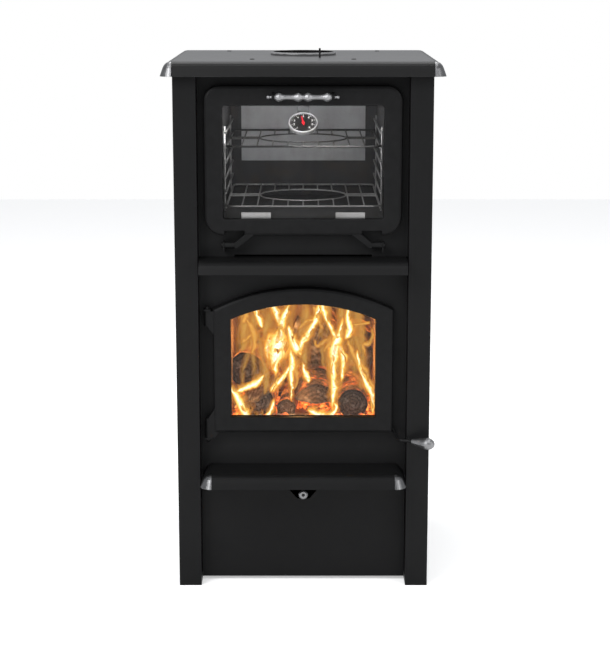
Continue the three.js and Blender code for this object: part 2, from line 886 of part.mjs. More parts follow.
const fireWindow = (offset, Kind) =>
  arched(fireWindowHalf + offset, fireWindowBottom - offset, windowArchRadius + offset, Kind);

const ovenWindow = (offset, Kind) =>
  roundedRect(
    ovenWindowHalf + offset,
    ovenWindowBottom - offset,
    ovenWindowTop + offset,
    ovenWindowCorner + offset,
    ovenWindowCorner + offset,
    Kind,
  );

function ovenFrontPanel() {
  const shape = outline(
    [-panelHalf, middleLedgeTop + seat],
    [panelHalf, middleLedgeTop + seat],
    [panelHalf, bodyTop],
    [-panelHalf, bodyTop],
  );
  shape.holes.push(ovenWindow(ovenWindowSide, THREE.Path));
  const slot = block(
    -drainSlotHalf,
    drainSlotHalf,
    panelFace - 1,
    panelBack + 1,
    middleLedgeTop,
    middleLedgeTop + seat + drainSlotHeight,
  );
  return facing(shape, panelFace, panelBack, 0, 3).subtract(slot);
}

function fireboxFrontPanel() {
  const shape = outline(
    [-panelHalf, drawerTop + panelToDrawerGap],
    [panelHalf, drawerTop + panelToDrawerGap],
    [panelHalf, middleLedgeTop - ledgePlate - seat],
    [-panelHalf, middleLedgeTop - ledgePlate - seat],
  );
  shape.holes.push(fireWindow(fireWindowLip, THREE.Path));
  return facing(shape, panelFace, panelBack, 0, 10);
}

/** The ledge between oven and firebox: its plate runs back between the two front panels. */
function middleLedge() {
  const edgeY = panelFace - middleLedgeFlat;
  const plate = block(
    -ledgeEnd,
    ledgeEnd,
    edgeY,
    panelBack + ledgeTongue,
    middleLedgeTop - ledgePlate,
    middleLedgeTop,
  );
  const edge = rolledEdge(
    2 * ledgeEnd,
    0,
    edgeY,
    middleLedgeTop,
    -Math.PI / 2,
    ledgeEdgeDrop,
    ledgePlate,
  );
  return join(plate, edge);
}

/** The hearth ledge: rolled on three sides, with a flange against the panel behind it. */
function hearthLedge() {
  const edgeY = panelFace - hearthFlat;
  const back = panelFace - seat;
  const length = back - edgeY;
  const under = hearthHeight - ledgePlate;
  const plate = block(-hearthFlatHalf, hearthFlatHalf, edgeY, back, under, hearthHeight);
  const flange = block(
    -hearthFlatHalf,
    hearthFlatHalf,
    back - ledgePlate,
    back,
    hearthHeight - hearthFlange,
    hearthHeight,
  );
  const front = rolledEdge(
    2 * hearthFlatHalf,
    0,
    edgeY,
    hearthHeight,
    -Math.PI / 2,
    ledgeEdgeDrop,
    ledgePlate,
  );
  const sides = [0, Math.PI].map((turn) =>
    rolledEdge(
      length,
      hearthFlatHalf * Math.cos(turn),
      edgeY + length / 2,
      hearthHeight,
      turn,
      ledgeEdgeDrop,
      ledgePlate,
    ),
  );
  return join(plate, flange, front, ...sides);
}

piece("oven_front_panel", ovenFrontPanel(), panelPaint);
piece("firebox_front_panel", fireboxFrontPanel(), panelPaint);
piece("middle_ledge", middleLedge(), stovePaint);
piece("hearth_ledge", hearthLedge(), stovePaint);
for (const [side, hand] of [[-1, "left"], [1, "right"]]) {
  piece(
    `hearth_cap_${hand}`,
    cornerCap(side, hearthFlatHalf, panelFace - hearthFlat, hearthHeight, ledgeEdgeDrop, ledgePlate),
    nickel,
  );
}

// ------------------------------------------------------------------ oven

function ovenBox() {
  const outer = block(
    -ovenHalf - ovenWall,
    ovenHalf + ovenWall,
    panelBack + seat,
    ovenBack + ovenWall,
    ovenFloor - ovenWall,
    ovenCeiling + ovenWall,
  );
  return outer.subtract(block(-ovenHalf, ovenHalf, 0, ovenBack, ovenFloor, ovenCeiling));
}

/** The bright plate on the upper back wall of the oven, folded back on both sides to stand off it. */
function ovenBackShield() {
  const face = ovenShieldFace;
  const back = ovenBack - seat;
  const heights = [ovenCeiling - ovenShieldHeight, ovenCeiling - seat];
  const plate = block(-ovenShieldHalf, ovenShieldHalf, face, face + ovenShieldPlate, ...heights);
  const folds = [-1, 1].map((side) =>
    sideBlock(side, ovenShieldHalf - ovenShieldPlate, ovenShieldHalf, face, back, ...heights),
  );
  return join(plate, ...folds);
}

/** A wire ladder against the oven's side wall, one rung under each rack position. */
function rackLadder(side) {
  const x = side * (ovenHalf - seat - ladderWire);
  const rungX = side * (ovenHalf - seat - 3 * ladderWire + ladderWeld);
  const firstRung = lowerRackZ - rackWire - ladderWire - seat;
  const lastRung = firstRung + (ladderSteps - 1) * rackPitch;
  const uprights = [ladderFrontY, ladderBackY].map((y) =>
    bar(at(x, y, firstRung - ladderOverrun), at(x, y, lastRung + ladderOverrun), ladderWire, 6),
  );
  const rungs = [];
  for (let i = 0; i < ladderSteps; i++) {
    const z = firstRung + i * rackPitch;
    const front = at(rungX, ladderFrontY - rungOverhang, z);
    rungs.push(bar(front, at(rungX, ladderBackY + rungOverhang, z), ladderWire, 6));
  }
  return join(...uprights, ...rungs);
}

/** A bent-wire rack: rounded frame, front-to-back wires, two cross wires and a round opening. */
function rack(z) {
  const up = at(0, 0, 1);
  const half = ovenHalf - 2 * seat - 2 * ladderWire - rackWire;
  const middleY = (rackFrontY + rackBackY) / 2;
  const halfDepth = (rackBackY - rackFrontY) / 2;
  const rim = [];
  const corners = [[1, -1, -90], [1, 1, 0], [-1, 1, 90], [-1, -1, 180]];
  for (const [sx, sy, startAngle] of corners) {
    for (let i = 0; i <= 2; i++) {
      const angle = (startAngle + 45 * i) * degree;
      rim.push(
        at(
          sx * (half - rackCorner) + rackCorner * Math.cos(angle),
          middleY + sy * (halfDepth - rackCorner) + rackCorner * Math.sin(angle),
          z,
        ),
      );
    }
  }
  const ring = [];
  const ringPoints = 24;
  for (let i = 0; i < ringPoints; i++) {
    const angle = (fullTurn * i) / ringPoints;
    ring.push(
      at(rackHoleRadius * Math.cos(angle), middleY + rackHoleRadius * Math.sin(angle), z),
    );
  }
  const wires = [];
  const pitch = (2 * half) / (rackThinWires + 1);
  for (let i = 1; i <= rackThinWires; i++) {
    const x = -half + i * pitch;
    const inRing = Math.abs(x) < rackHoleRadius;
    const reach = inRing ? Math.sqrt(rackHoleRadius ** 2 - x ** 2) : 0;
    const spans = inRing
      ? [[rackFrontY, middleY - reach], [middleY + reach, rackBackY]]
      : [[rackFrontY, rackBackY]];
    for (const [y0, y1] of spans) wires.push(bar(at(x, y0, z), at(x, y1, z), rackThinWire, 5));
  }
  for (const side of [-1, 1]) {
    for (const offset of [-rackCrossGap, rackCrossGap]) {
      const reach = Math.sqrt(rackHoleRadius ** 2 - offset ** 2);
      const y = middleY + offset;
      wires.push(bar(at(side * reach, y, z), at(side * half, y, z), rackThinWire, 5));
    }
  }
  return join(loopWire(rim, up, rackWire, 6), loopWire(ring, up, rackThinWire, 5), ...wires);
}

// The dial's own directions: out of its face, and up along it.
const dialOut = at(0, -Math.cos(dialTilt * degree), Math.sin(dialTilt * degree));
const dialUp = at(0, Math.sin(dialTilt * degree), Math.cos(dialTilt * degree));
const dialCentre = at(0, dialY, dialZ);
const onDial = (across, up, out) =>
  dialCentre
    .clone()
    .addScaledVector(dialUp, up)
    .addScaledVector(dialOut, out)
    .add(at(across, 0, 0));

/** The thermometer's round case: a rim round a shallow well, with the needle's pin in the middle. */
function thermometerCase() {
  return turnedAlong(
    [
      [0, -dialDepth],
      [dialRadius - 2 * dialEase, -dialDepth],
      [dialRadius, -dialDepth + 2 * dialEase],
      [dialRadius, -dialEase],
      [dialRadius - dialEase, 0],
      [dialRadius - dialRim + dialEase, 0],
      [dialRadius - dialRim, -dialEase],
      [dialRadius - dialRim, -dialWell],
      [needlePinRadius, -dialWell],
      [needlePinRadius, -dialWell + needlePlate + 2 * seat],
      [0, -dialWell + needlePlate + 2 * seat],
    ],
    dialCentre,
    dialOut,
    32,
  );
}

/** The strap that hangs the thermometer from the oven's ceiling and runs down its back. */
function thermometerStrap() {
  const backOut = -dialDepth - seat;
  const top = onDial(0, dialRadius + 2 * dialStrapPlate, backOut);
  const low = onDial(0, -2 * dialStrapPlate, backOut);
  const ceiling = ovenCeiling - seat - dialStrapPlate;
  const shape = strip(
    [
      [top.y - dialStrapTab, ceiling],
      [top.y, ceiling],
      [top.y, top.z],
      [low.y, low.z],
    ],
    dialStrapPlate,
  );
  return sideways(shape, -dialStrapWidth / 2, dialStrapWidth / 2);
}

/** The needle: a tapered pointer with a tail, free to turn on the case's pin. */
function thermometerNeedle() {
  const shape = new THREE.Shape();
  const hubSide = 60 * degree;
  shape.moveTo(-needleHubRadius * Math.cos(hubSide), needleHubRadius * Math.sin(hubSide));
  shape.absarc(0, 0, needleHubRadius, Math.PI - hubSide, Math.PI + hubSide);
  shape.lineTo(-0.8, -needleTail);
  shape.lineTo(0.8, -needleTail);
  shape.absarc(0, 0, needleHubRadius, -hubSide, hubSide);
  shape.lineTo(0.5, needleLength);
  shape.lineTo(-0.5, needleLength);
  shape.closePath();
  const hole = new THREE.Path();
  hole.absarc(0, 0, needlePinRadius + bore, 0, fullTurn);
  shape.holes.push(hole);
  const geometry = new THREE.ExtrudeGeometry(shape, {
    depth: needlePlate,
    bevelEnabled: false,
    curveSegments: 5,
  });
  geometry.rotateZ(needleAngle * degree);
  const basis = new THREE.Matrix4().makeBasis(at(1, 0, 0), dialUp, dialOut);
  geometry.applyMatrix4(basis);
  const home = onDial(0, 0, -dialWell + seat);
  geometry.translate(home.x, home.y, home.z);
  return solid(geometry);
}

piece("oven_box", ovenBox(), ovenSteel);
piece("oven_back_shield", ovenBackShield(), stainless);
piece("rack_ladder_left", rackLadder(-1), wireSteel);
piece("rack_ladder_right", rackLadder(1), wireSteel);
piece("lower_rack", rack(lowerRackZ), wireSteel);
piece("upper_rack", rack(lowerRackZ + upperRackStep * rackPitch), wireSteel);
piece("thermometer_strap", thermometerStrap(), stainless);
piece("thermometer_case", thermometerCase(), dialBlack);
piece("thermometer_needle", thermometerNeedle(), needleRed);

// ------------------------------------------------------------------ oven door

/** A door frame: rounded outer edge, eased window, glass rebate and gasket groove behind. */
function doorFrame(outlineShape, windowOf, curveSegments) {
  const slab = facing(outlineShape, doorFace, doorBack, doorEdgeRound, curveSegments);
  const far = beyond / 2;
  const field = outline([-far, -far], [far, -far], [far, far], [-far, far]);
  field.holes.push(windowOf(0, THREE.Path));
  const windowed = facing(field, doorFace, doorBack, windowEdgeRound, curveSegments);
  const rebateFront = doorFace + frameFlange;
  const rebate = facing(windowOf(glassRebate), rebateFront, doorBack + 1, 0, curveSegments);
  const grooveOuter = windowOf(gasketOffset + gasketWidth);
  grooveOuter.holes.push(windowOf(gasketOffset, THREE.Path));
  const grooveFront = doorBack - gasketDepth - seat;
  const groove = facing(grooveOuter, grooveFront, doorBack + 1, 0, curveSegments);
  return slab.intersect(windowed).subtract(rebate).subtract(groove);
}

/** The glass of a door, seated in its rebate. */
function doorGlass(windowOf, curveSegments) {
  const y0 = doorFace + frameFlange + seat;
  return facing(windowOf(glassRebate - seat), y0, y0 + glassPlate, 0, curveSegments);
}

/** The fibre gasket in the groove round a door's window. */
function doorGasket(windowOf, curveSegments) {
  const ring = windowOf(gasketOffset + gasketWidth - seat);
  ring.holes.push(windowOf(gasketOffset + seat, THREE.Path));
  return facing(ring, doorBack - gasketDepth, doorBack, 0, curveSegments);
}

/** The oven door: its lower edge is notched over two barrels that sloping arms carry. */
function ovenDoorFrame() {
  const shape = roundedRect(
    ovenDoorHalf,
    ovenDoorBottom,
    ovenDoorTop,
    ovenDoorCornerTop,
    ovenDoorCornerBottom,
  );
  let frame = doorFrame(shape, ovenWindow, 3);
  const barrelFront = ovenHingeY - ovenBarrelRadius;
  const barrelBack = ovenHingeY + ovenBarrelRadius;
  for (const side of [-1, 1]) {
    const notch = sideBlock(
      side,
      ovenArmRootX1,
      ovenBarrelX1,
      doorFace - 1,
      doorBack + 1,
      ovenDoorBottom - 1,
      ovenNotchTop,
    );
    const barrelLow = ovenHingeZ - ovenBarrelRadius * 0.8;
    const barrelHigh = ovenHingeZ + ovenBarrelRadius * 0.8;
    const arm = outline(
      [side * ovenArmRootX0, ovenDoorBottom + 2],
      [side * (ovenBarrelX0 + 1), barrelLow],
      [side * (ovenBarrelX0 + 6), barrelLow],
      [side * (ovenBarrelX0 + 6), barrelHigh],
      [side * ovenArmRootX1, ovenDoorBottom + 2],
    );
    const barrel = bar(
      at(side * ovenBarrelX0, ovenHingeY, ovenHingeZ),
      at(side * ovenBarrelX1, ovenHingeY, ovenHingeZ),
      ovenBarrelRadius,
      16,
    );
    const pinBore = bar(
      at(side * (ovenBarrelX0 - 1), ovenHingeY, ovenHingeZ),
      at(side * (ovenBarrelX1 + 1), ovenHingeY, ovenHingeZ),
      ovenPinRadius + bore,
      16,
    );
    frame = join(frame.subtract(notch), facing(arm, barrelFront, barrelBack), barrel).subtract(pinBore);
  }
  return frame;
}

/** A hinge bracket on the oven's front panel: a lug with a headed pin through the door's barrel. */
function ovenHingeBracket(side) {
  const lugX = ovenBarrelX1 + seat;
  const foot = panelFace - seat;
  const low = ovenHingeZ - ovenLugDrop;
  const high = ovenHingeZ + ovenBarrelRadius;
  const front = ovenHingeY - 1.5 * ovenPinRadius;
  const lug = sideBlock(side, lugX, lugX + ovenLugPlate, front, foot, low, high);
  const footPlate = sideBlock(side, lugX - ovenLugFoot, lugX + 1, foot - bodySheet, foot, low, high);
  const pinStart = ovenBarrelX0 + bodySheet;
  const lugEnd = lugX + ovenLugPlate;
  const headEnd = lugEnd + ovenLugHead;
  const pin = turnedAlong(
    [
      [0, pinStart],
      [ovenPinRadius, pinStart],
      [ovenPinRadius, lugEnd - 1],
      [1.6 * ovenPinRadius, lugEnd - 1],
      [1.6 * ovenPinRadius, headEnd - 1],
      [1.25 * ovenPinRadius, headEnd],
      [0, headEnd],
    ],
    at(0, ovenHingeY, ovenHingeZ),
    at(side, 0, 0),
    14,
  );
  return join(lug, footPlate, pin);
}

/** A stainless clip that holds the lower edge of the oven's glass. */
function glassClip(side) {
  const y0 = doorFace + frameFlange + glassPlate + 2 * seat;
  const z0 = ovenWindowBottom - glassRebate + seat;
  return sideBlock(side, glassClipX0, glassClipX1, y0, y0 + glassClipPlate, z0, z0 + glassClipHeight);
}

/** A plate post that stands out from the door and carries one end of the handle. */
function handlePost(side) {
  const shape = new THREE.Shape();
  const half = handlePostWidth / 2;
  const root = doorFace - seat;
  shape.moveTo(root, handleZ - 1.3 * half);
  shape.lineTo(root, handleZ + 1.3 * half);
  shape.lineTo(root - half, handleZ + half);
  shape.absarc(handleY, handleZ, half, Math.PI / 2, (3 * Math.PI) / 2);
  shape.lineTo(root - half, handleZ - half);
  shape.closePath();
  const eye = new THREE.Path();
  eye.absarc(handleY, handleZ, handleRodRadius + bore, 0, fullTurn);
  shape.holes.push(eye);
  const x0 = handlePostX - handlePostPlate / 2;
  const x1 = handlePostX + handlePostPlate / 2;
  return side > 0 ? sideways(shape, x0, x1) : sideways(shape, -x1, -x0);
}

/** The turned grip on its rod, with four beads between the posts and a finial past each of them. */
function handleGrip() {
  const end = handlePostX - handlePostPlate / 2 - seat;
  const outside = handlePostX + handlePostPlate / 2 + seat;
  const outerBead = end - gripBeadEnd;
  const curve = new THREE.SplineCurve(
    [
      [0, 0.94 * gripNeck],
      [gripBeadInner, gripLargest],
      [gripBeadInner + gripBeadSlope, 1.15 * gripNeck],
      [(gripBeadInner + outerBead) / 2, gripNeck],
      [outerBead - gripBeadSlope, 1.15 * gripNeck],
      [outerBead, gripLargest],
      [end, 0.92 * gripNeck],
    ].map(([x, radius]) => new THREE.Vector2(x, radius)),
  );
  const half = curve.getPoints(12).map((point) => [point.y, point.x]);
  const tip = [
    [handleRodRadius, end],
    [handleRodRadius, outside],
    [1.25 * handleRodRadius, outside],
    [0.85 * handleRodRadius, outside + 0.25 * finialLength],
    [finialRadius, outside + 0.58 * finialLength],
    [0.8 * finialRadius, outside + 0.83 * finialLength],
    [0, outside + finialLength],
  ];
  const right = [...half, ...tip];
  const left = right
    .slice(1)
    .map(([radius, x]) => [radius, -x])
    .reverse();
  return turnedAlong([...left, ...right], at(0, handleY, handleZ), at(1, 0, 0), 12);
}

piece("oven_door_frame", ovenDoorFrame(), castIron);
piece("oven_door_glass", doorGlass(ovenWindow, 3), ceramicGlass);
piece("oven_door_gasket", doorGasket(ovenWindow, 3), fibreRope);
piece("oven_door_grip", handleGrip(), nickel);
for (const [side, hand] of [[-1, "left"], [1, "right"]]) {
  piece(`oven_glass_clip_${hand}`, glassClip(side), stainless);
  piece(`oven_handle_post_${hand}`, handlePost(side), castIron);
  piece(`oven_hinge_bracket_${hand}`, ovenHingeBracket(side), castIron);
}

// ------------------------------------------------------------------ firebox

/** The welded firebox: open in front, with a smoke slot at the top, an air hole and an ash chute. */
function fireboxShell() {
  const outerHalf = shellHalf + shellWall;
  const front = panelBack + seat;
  const floor = shellFloor - shellWall;
  const hull = block(-outerHalf, outerHalf, front, shellBack + shellWall, floor, shellTop + shellWall);
  const inside = block(-shellHalf, shellHalf, front - 1, shellBack, shellFloor, shellTop);
  const smokeSlot = block(
    -shellHalf + smokeSlotSide,
    shellHalf - smokeSlotSide,
    shellBack - smokeSlotRear - smokeSlotLength,
    shellBack - smokeSlotRear,
    shellTop - 1,
    shellTop + shellWall + 1,
  );
  const chuteHalf = grateHalf + chuteWall;
  const chuteFront = grateFront - chuteWall;
  const chuteBack = grateBack + chuteWall;
  const chute = block(-chuteHalf, chuteHalf, chuteFront, chuteBack, chuteBottom, floor + 1);
  const chuteBore = block(
    -grateHalf + grateLap,
    grateHalf - grateLap,
    grateFront + grateLap,
    grateBack - grateLap,
    chuteBottom - 1,
    shellFloor + 1,
  );
  const airHole = block(-airPortHalf, airPortHalf, airPortFront, airPortBack, floor - 1, shellFloor + 1);
  return join(hull.subtract(inside), chute).subtract(smokeSlot).subtract(chuteBore).subtract(airHole);
}

/** Cuts the mortar joints of a brick lining: straight grooves, each given as a box. */
const withJoints = (body, joints) => joints.reduce((sum, groove) => sum.subtract(groove), body);

const brickFloorZ = shellFloor + seat;
const brickWallZ = brickFloorZ + brick + seat;
const brickBackFace = shellBack - seat - brick;
const brickHalf = shellHalf - seat;

/** The floor bricks, laid round the grate and open over the air hole. */
function brickFloor() {
  const top = brickFloorZ + brick;
  const slab = block(-brickHalf, brickHalf, brickFront, shellBack - seat, brickFloorZ, top);
  const grateHole = block(
    -grateHalf - seat,
    grateHalf + seat,
    grateFront - seat,
    grateBack + seat,
    brickFloorZ - 1,
    top + 1,
  );
  const airHole = block(-airPortHalf, airPortHalf, airPortFront, airPortBack, brickFloorZ - 1, top + 1);
  const joints = [];
  for (const y of [grateFront - brick, (grateFront + grateBack) / 2, grateBack + brick]) {
    joints.push(block(-brickHalf - 1, brickHalf + 1, y, y + brickJoint, top - brickJoint, top + 1));
  }
  return withJoints(slab.subtract(grateHole).subtract(airHole), joints);
}

/** A side wall of bricks in three courses, with staggered upright joints. */
function brickSide(side) {
  const face = brickHalf - brick;
  const back = brickBackFace - seat;
  const wall = sideBlock(side, face, brickHalf, brickFront, back, brickWallZ, brickTop);
  const course = (brickTop - brickWallZ) / brickCourses;
  const cut = [face - 1, face + brickJoint];
  const joints = [];
  for (let i = 0; i < brickCourses; i++) {
    const z0 = brickWallZ + i * course;
    if (i > 0) {
      joints.push(sideBlock(side, ...cut, brickFront - 1, back + 1, z0, z0 + brickJoint));
    }
    for (const share of i % 2 ? [0.5] : [0.28, 0.78]) {
      const y = brickFront + (back - brickFront) * share;
      joints.push(sideBlock(side, ...cut, y, y + brickJoint, z0, z0 + course));
    }
  }
  return withJoints(wall, joints);
}

/** The rear wall of bricks, in the same courses. */
function brickBack() {
  const wall = block(-brickHalf, brickHalf, brickBackFace, shellBack - seat, brickWallZ, brickTop);
  const course = (brickTop - brickWallZ) / brickCourses;
  const joints = [];
  for (let i = 0; i < brickCourses; i++) {
    const z0 = brickWallZ + i * course;
    const face = [brickBackFace - 1, brickBackFace + brickJoint];
    if (i > 0) joints.push(block(-brickHalf - 1, brickHalf + 1, ...face, z0, z0 + brickJoint));
    for (const x of i % 2 ? [-brickHalf * 0.33, brickHalf * 0.33] : [0]) {
      joints.push(block(x, x + brickJoint, ...face, z0, z0 + course));
    }
  }
  return withJoints(wall, joints);
}

/** The cast grate: bars in a frame over the ash chute. */
function grate() {
  const top = brickFloorZ + grateThickness;
  const frame = block(-grateHalf, grateHalf, grateFront, grateBack, brickFloorZ, top);
  const pitch = (2 * (grateHalf - grateLap)) / grateBars;
  const slots = [];
  for (let i = 0; i < grateBars; i++) {
    const x = -grateHalf + grateLap + (i + 0.5) * pitch;
    slots.push(
      block(
        x - pitch * 0.29,
        x + pitch * 0.29,
        grateFront + grateLap,
        grateBack - grateLap,
        brickFloorZ - 1,
        top + 1,
      ),
    );
  }
  return withJoints(frame, slots);
}

function flameBaffle() {
  const z0 = brickTop + seat;
  return block(-brickHalf, brickHalf, baffleFront, shellBack - seat, z0, z0 + bafflePlate);
}

piece("firebox_shell", fireboxShell(), castIron);
piece("firebrick_floor", brickFloor(), firebrick);
piece("firebrick_left", brickSide(-1), firebrick);
piece("firebrick_right", brickSide(1), firebrick);
piece("firebrick_back", brickBack(), firebrick);
piece("grate", grate(), castIron);
piece("flame_baffle", flameBaffle(), firebrick);

// ------------------------------------------------------------------ firebox door

/** The arched door, with two hinge ears on the left and a pocket for the latch at lower right. */
function fireDoorFrame() {
  const slab = doorFrame(arched(fireDoorHalf, fireDoorBottom, archRadius), fireWindow, 10);
  const earFront = fireHingeY - fireBarrelRadius;
  const earBack = fireHingeY + fireBarrelRadius;
  const rootX = -fireDoorHalf + 2;
  const upperEar = outline(
    [rootX, upperEarTop],
    [fireHingeX, upperEarTop],
    [fireHingeX, upperEarBottom],
    [rootX, upperEarRoot],
  );
  const lowerEar = outline(
    [rootX, lowerEarRoot],
    [fireHingeX, lowerEarTop],
    [fireHingeX, lowerEarBottom],
    [rootX, lowerEarBottom],
    [rootX + 10, fireDoorBottom + 2],
    [rootX + 10, lowerEarRoot],
  );
  const barrel = (z0, z1, radius) =>
    bar(at(fireHingeX, fireHingeY, z0), at(fireHingeX, fireHingeY, z1), radius, 16);
  const pocket = block(
    fireDoorHalf - latchPocketWidth,
    fireDoorHalf + 1,
    doorFace + latchPocketWall,
    doorBack + 1,
    fireDoorBottom - 1,
    fireDoorBottom + latchPocketHeight,
  );
  const spindleBore = bar(
    at(latchX, doorFace + latchPocketWall - latchSpindleLength - seat, latchZ),
    at(latchX, doorBack, latchZ),
    latchSpindleRadius + bore,
    12,
  );
  return join(
    slab,
    facing(upperEar, earFront, earBack),
    facing(lowerEar, earFront, earBack),
    barrel(upperEarBottom, upperEarTop, fireBarrelRadius),
    barrel(lowerEarBottom, lowerEarTop, fireBarrelRadius),
  )
    .subtract(barrel(upperEarBottom - 1, upperEarTop + 1, firePinRadius + bore))
    .subtract(barrel(lowerEarBottom - 1, lowerEarTop + 1, firePinRadius + bore))
    .subtract(pocket)
    .subtract(spindleBore);
}

/** A hinge bracket: a lug on the panel, with the pin that enters the ear; up is 1 over the ear. */
function fireHingeBracket(earEdge, up, pinLength) {
  const lugNear = earEdge + up * seat;
  const lugFar = lugNear + up * fireLugPlate;
  const lug = block(
    fireHingeX - fireBarrelRadius,
    fireHingeX + fireBarrelRadius,
    fireHingeY - fireBarrelRadius,
    panelFace - seat,
    Math.min(lugNear, lugFar),
    Math.max(lugNear, lugFar),
  );
  const head = lugFar + up * firePinHead;
  const pinEnd = earEdge - up * pinLength;
  const profile = [
    [0, pinEnd],
    [firePinRadius, pinEnd],
    [firePinRadius, lugFar - up],
    [1.8 * firePinRadius, lugFar - up],
    [1.8 * firePinRadius, head - up * firePinRadius],
    [firePinRadius, head],
    [0, head],
  ];
  const rising = up > 0 ? profile : profile.reverse();
  return join(lug, turned(rising, fireHingeX, fireHingeY, 14));
}

/** The latch lever: hub and tooth in the door's pocket, and a rod that bends out to the grip. */
function latchLever() {
  const hubFront = doorFace + latchPocketWall + seat;
  const hubBack = hubFront + latchHubLength;
  const axis = (y) => at(latchX, y, latchZ);
  const hub = bar(axis(hubFront), axis(hubBack), latchHubRadius, 16);
  const spindle = bar(axis(hubFront - latchSpindleLength), axis(hubFront + 1), latchSpindleRadius, 12);
  const half = latchToothWidth / 2;
  const tooth = outline(
    [latchX - half, latchZ],
    [latchX + half, latchZ],
    [latchX + half, latchZ + latchToothTip - latchToothPoint],
    [latchX, latchZ + latchToothTip],
    [latchX - half, latchZ + latchToothTip - latchToothPoint],
  );
  const rodY = hubFront + latchRodSetback;
  const yaw = gripYaw * degree;
  const route = new THREE.CatmullRomCurve3([
    at(latchX, rodY, latchZ - latchRodRadius / 2),
    at(latchX + latchShoulderX, rodY, latchZ - latchShoulderDrop),
    at(latchX + latchKneeX, rodY - latchKneeForward, gripAxisZ + latchKneeRise),
    at(gripStartX - latchElbowX, gripStartY + latchRodLead, gripAxisZ),
    at(
      gripStartX - latchRodLead * Math.cos(yaw),
      gripStartY + latchRodLead * Math.sin(yaw),
      gripAxisZ,
    ),
    at(gripStartX, gripStartY, gripAxisZ),
  ]);
  const section = new THREE.Shape();
  section.absarc(0, 0, latchRodRadius, 0, fullTurn);
  const rod = solid(
    new THREE.ExtrudeGeometry(section, { steps: 20, extrudePath: route, curveSegments: 4 }),
  );
  return join(hub, spindle, facing(tooth, hubBack - latchToothPlate, hubBack), rod);
}

/** The latch's chrome grip: a long drop shape, slim at the rod and full at its end. */
function latchGrip() {
  const yaw = gripYaw * degree;
  const direction = at(Math.cos(yaw), -Math.sin(yaw), 0);
  const start = at(gripStartX, gripStartY, gripAxisZ).addScaledVector(direction, seat);
  const bulbAt = latchGripLength * 0.68;
  const profile = [
    [0, 0],
    [latchGripRoot - 0.8, 0],
    [latchGripRoot, 1.2],
    [latchGripRoot + (latchGripBulb - latchGripRoot) * 0.55, bulbAt * 0.6],
    [latchGripBulb - 0.9, bulbAt * 0.88],
  ];
  const cap = 5;
  for (let i = 0; i <= cap; i++) {
    const angle = (90 * i * degree) / cap;
    profile.push([
      latchGripBulb * Math.cos(angle),
      bulbAt + (latchGripLength - bulbAt) * Math.sin(angle),
    ]);
  }
  profile[profile.length - 1][0] = 0;
  return turnedAlong(profile, start, direction, 18);
}

/** The keeper: a tongue on the firebox panel that the latch's tooth turns in behind. */
function latchKeeper() {
  const toothFront = doorFace + latchPocketWall + seat + latchHubLength - latchToothPlate;
  const footX = latchX + latchToothWidth / 2 + 2 * seat;
  const tongueX = latchX - latchToothWidth / 2 - keeperLap;
  const top = keeperBottom + keeperHeight;
  const back = panelFace - seat;
  const tongueBack = toothFront - seat;
  const tongueFront = tongueBack - keeperPlate;
  const footEnd = footX + keeperPlate;
  const tongue = block(tongueX, footEnd, tongueFront, tongueBack, keeperBottom, top);
  const foot = block(footX, footEnd, tongueFront, back, keeperBottom, top);
  return join(tongue, foot);
}

piece("fire_door_frame", fireDoorFrame(), castIron);
piece("fire_door_glass", doorGlass(fireWindow, 10), ceramicGlass);
piece("fire_door_gasket", doorGasket(fireWindow, 10), fibreRope);
piece("fire_hinge_bracket_upper", fireHingeBracket(upperEarTop, 1, upperPinLength), castIron);
piece("fire_hinge_bracket_lower", fireHingeBracket(lowerEarBottom, -1, lowerPinLength), castIron);
piece("latch_lever", latchLever(), castIron);
piece("latch_grip", latchGrip(), nickel);
piece("latch_keeper", latchKeeper(), castIron);

// ------------------------------------------------------------------ ash drawer

/** The drawer front: a sheet folded back at its sides and bottom, notched round the air knob. */
function drawerFront() {
  const shape = outline(
    [-drawerHalf, drawerBottom],
    [drawerHalf, drawerBottom],
    [drawerHalf, drawerTop],
    [notchTopHalf, drawerTop],
    [notchBottomHalf, notchBottom],
    [-notchBottomHalf, notchBottom],
    [-notchTopHalf, drawerTop],
    [-drawerHalf, drawerTop],
  );
  const back = drawerFace + bodySheet;
  const sheetFront = facing(shape, drawerFace, back);
  const depths = [back - 1, back + drawerReturn];
  const sides = [-1, 1].map((side) =>
    sideBlock(side, drawerHalf - bodySheet, drawerHalf, ...depths, drawerBottom, drawerTop),
  );
  const low = block(-drawerHalf, drawerHalf, ...depths, drawerBottom, drawerBottom + bodySheet);
  return join(sheetFront, ...sides, low);
}

/** The open ash pan behind the drawer front. */
function ashPan() {
  const y0 = drawerFace + bodySheet + seat;
  const outer = block(-panHalf, panHalf, y0, panBack, panBottom, panTop);
  const half = panHalf - panWall;
  const inside = block(-half, half, y0 + panWall, panBack - panWall, panBottom + panWall, panTop + 1);
  return outer.subtract(inside);
}

piece("ash_drawer_front", drawerFront(), stovePaint);
piece("ash_pan", ashPan(), panelPaint);

// ------------------------------------------------------------------ air control

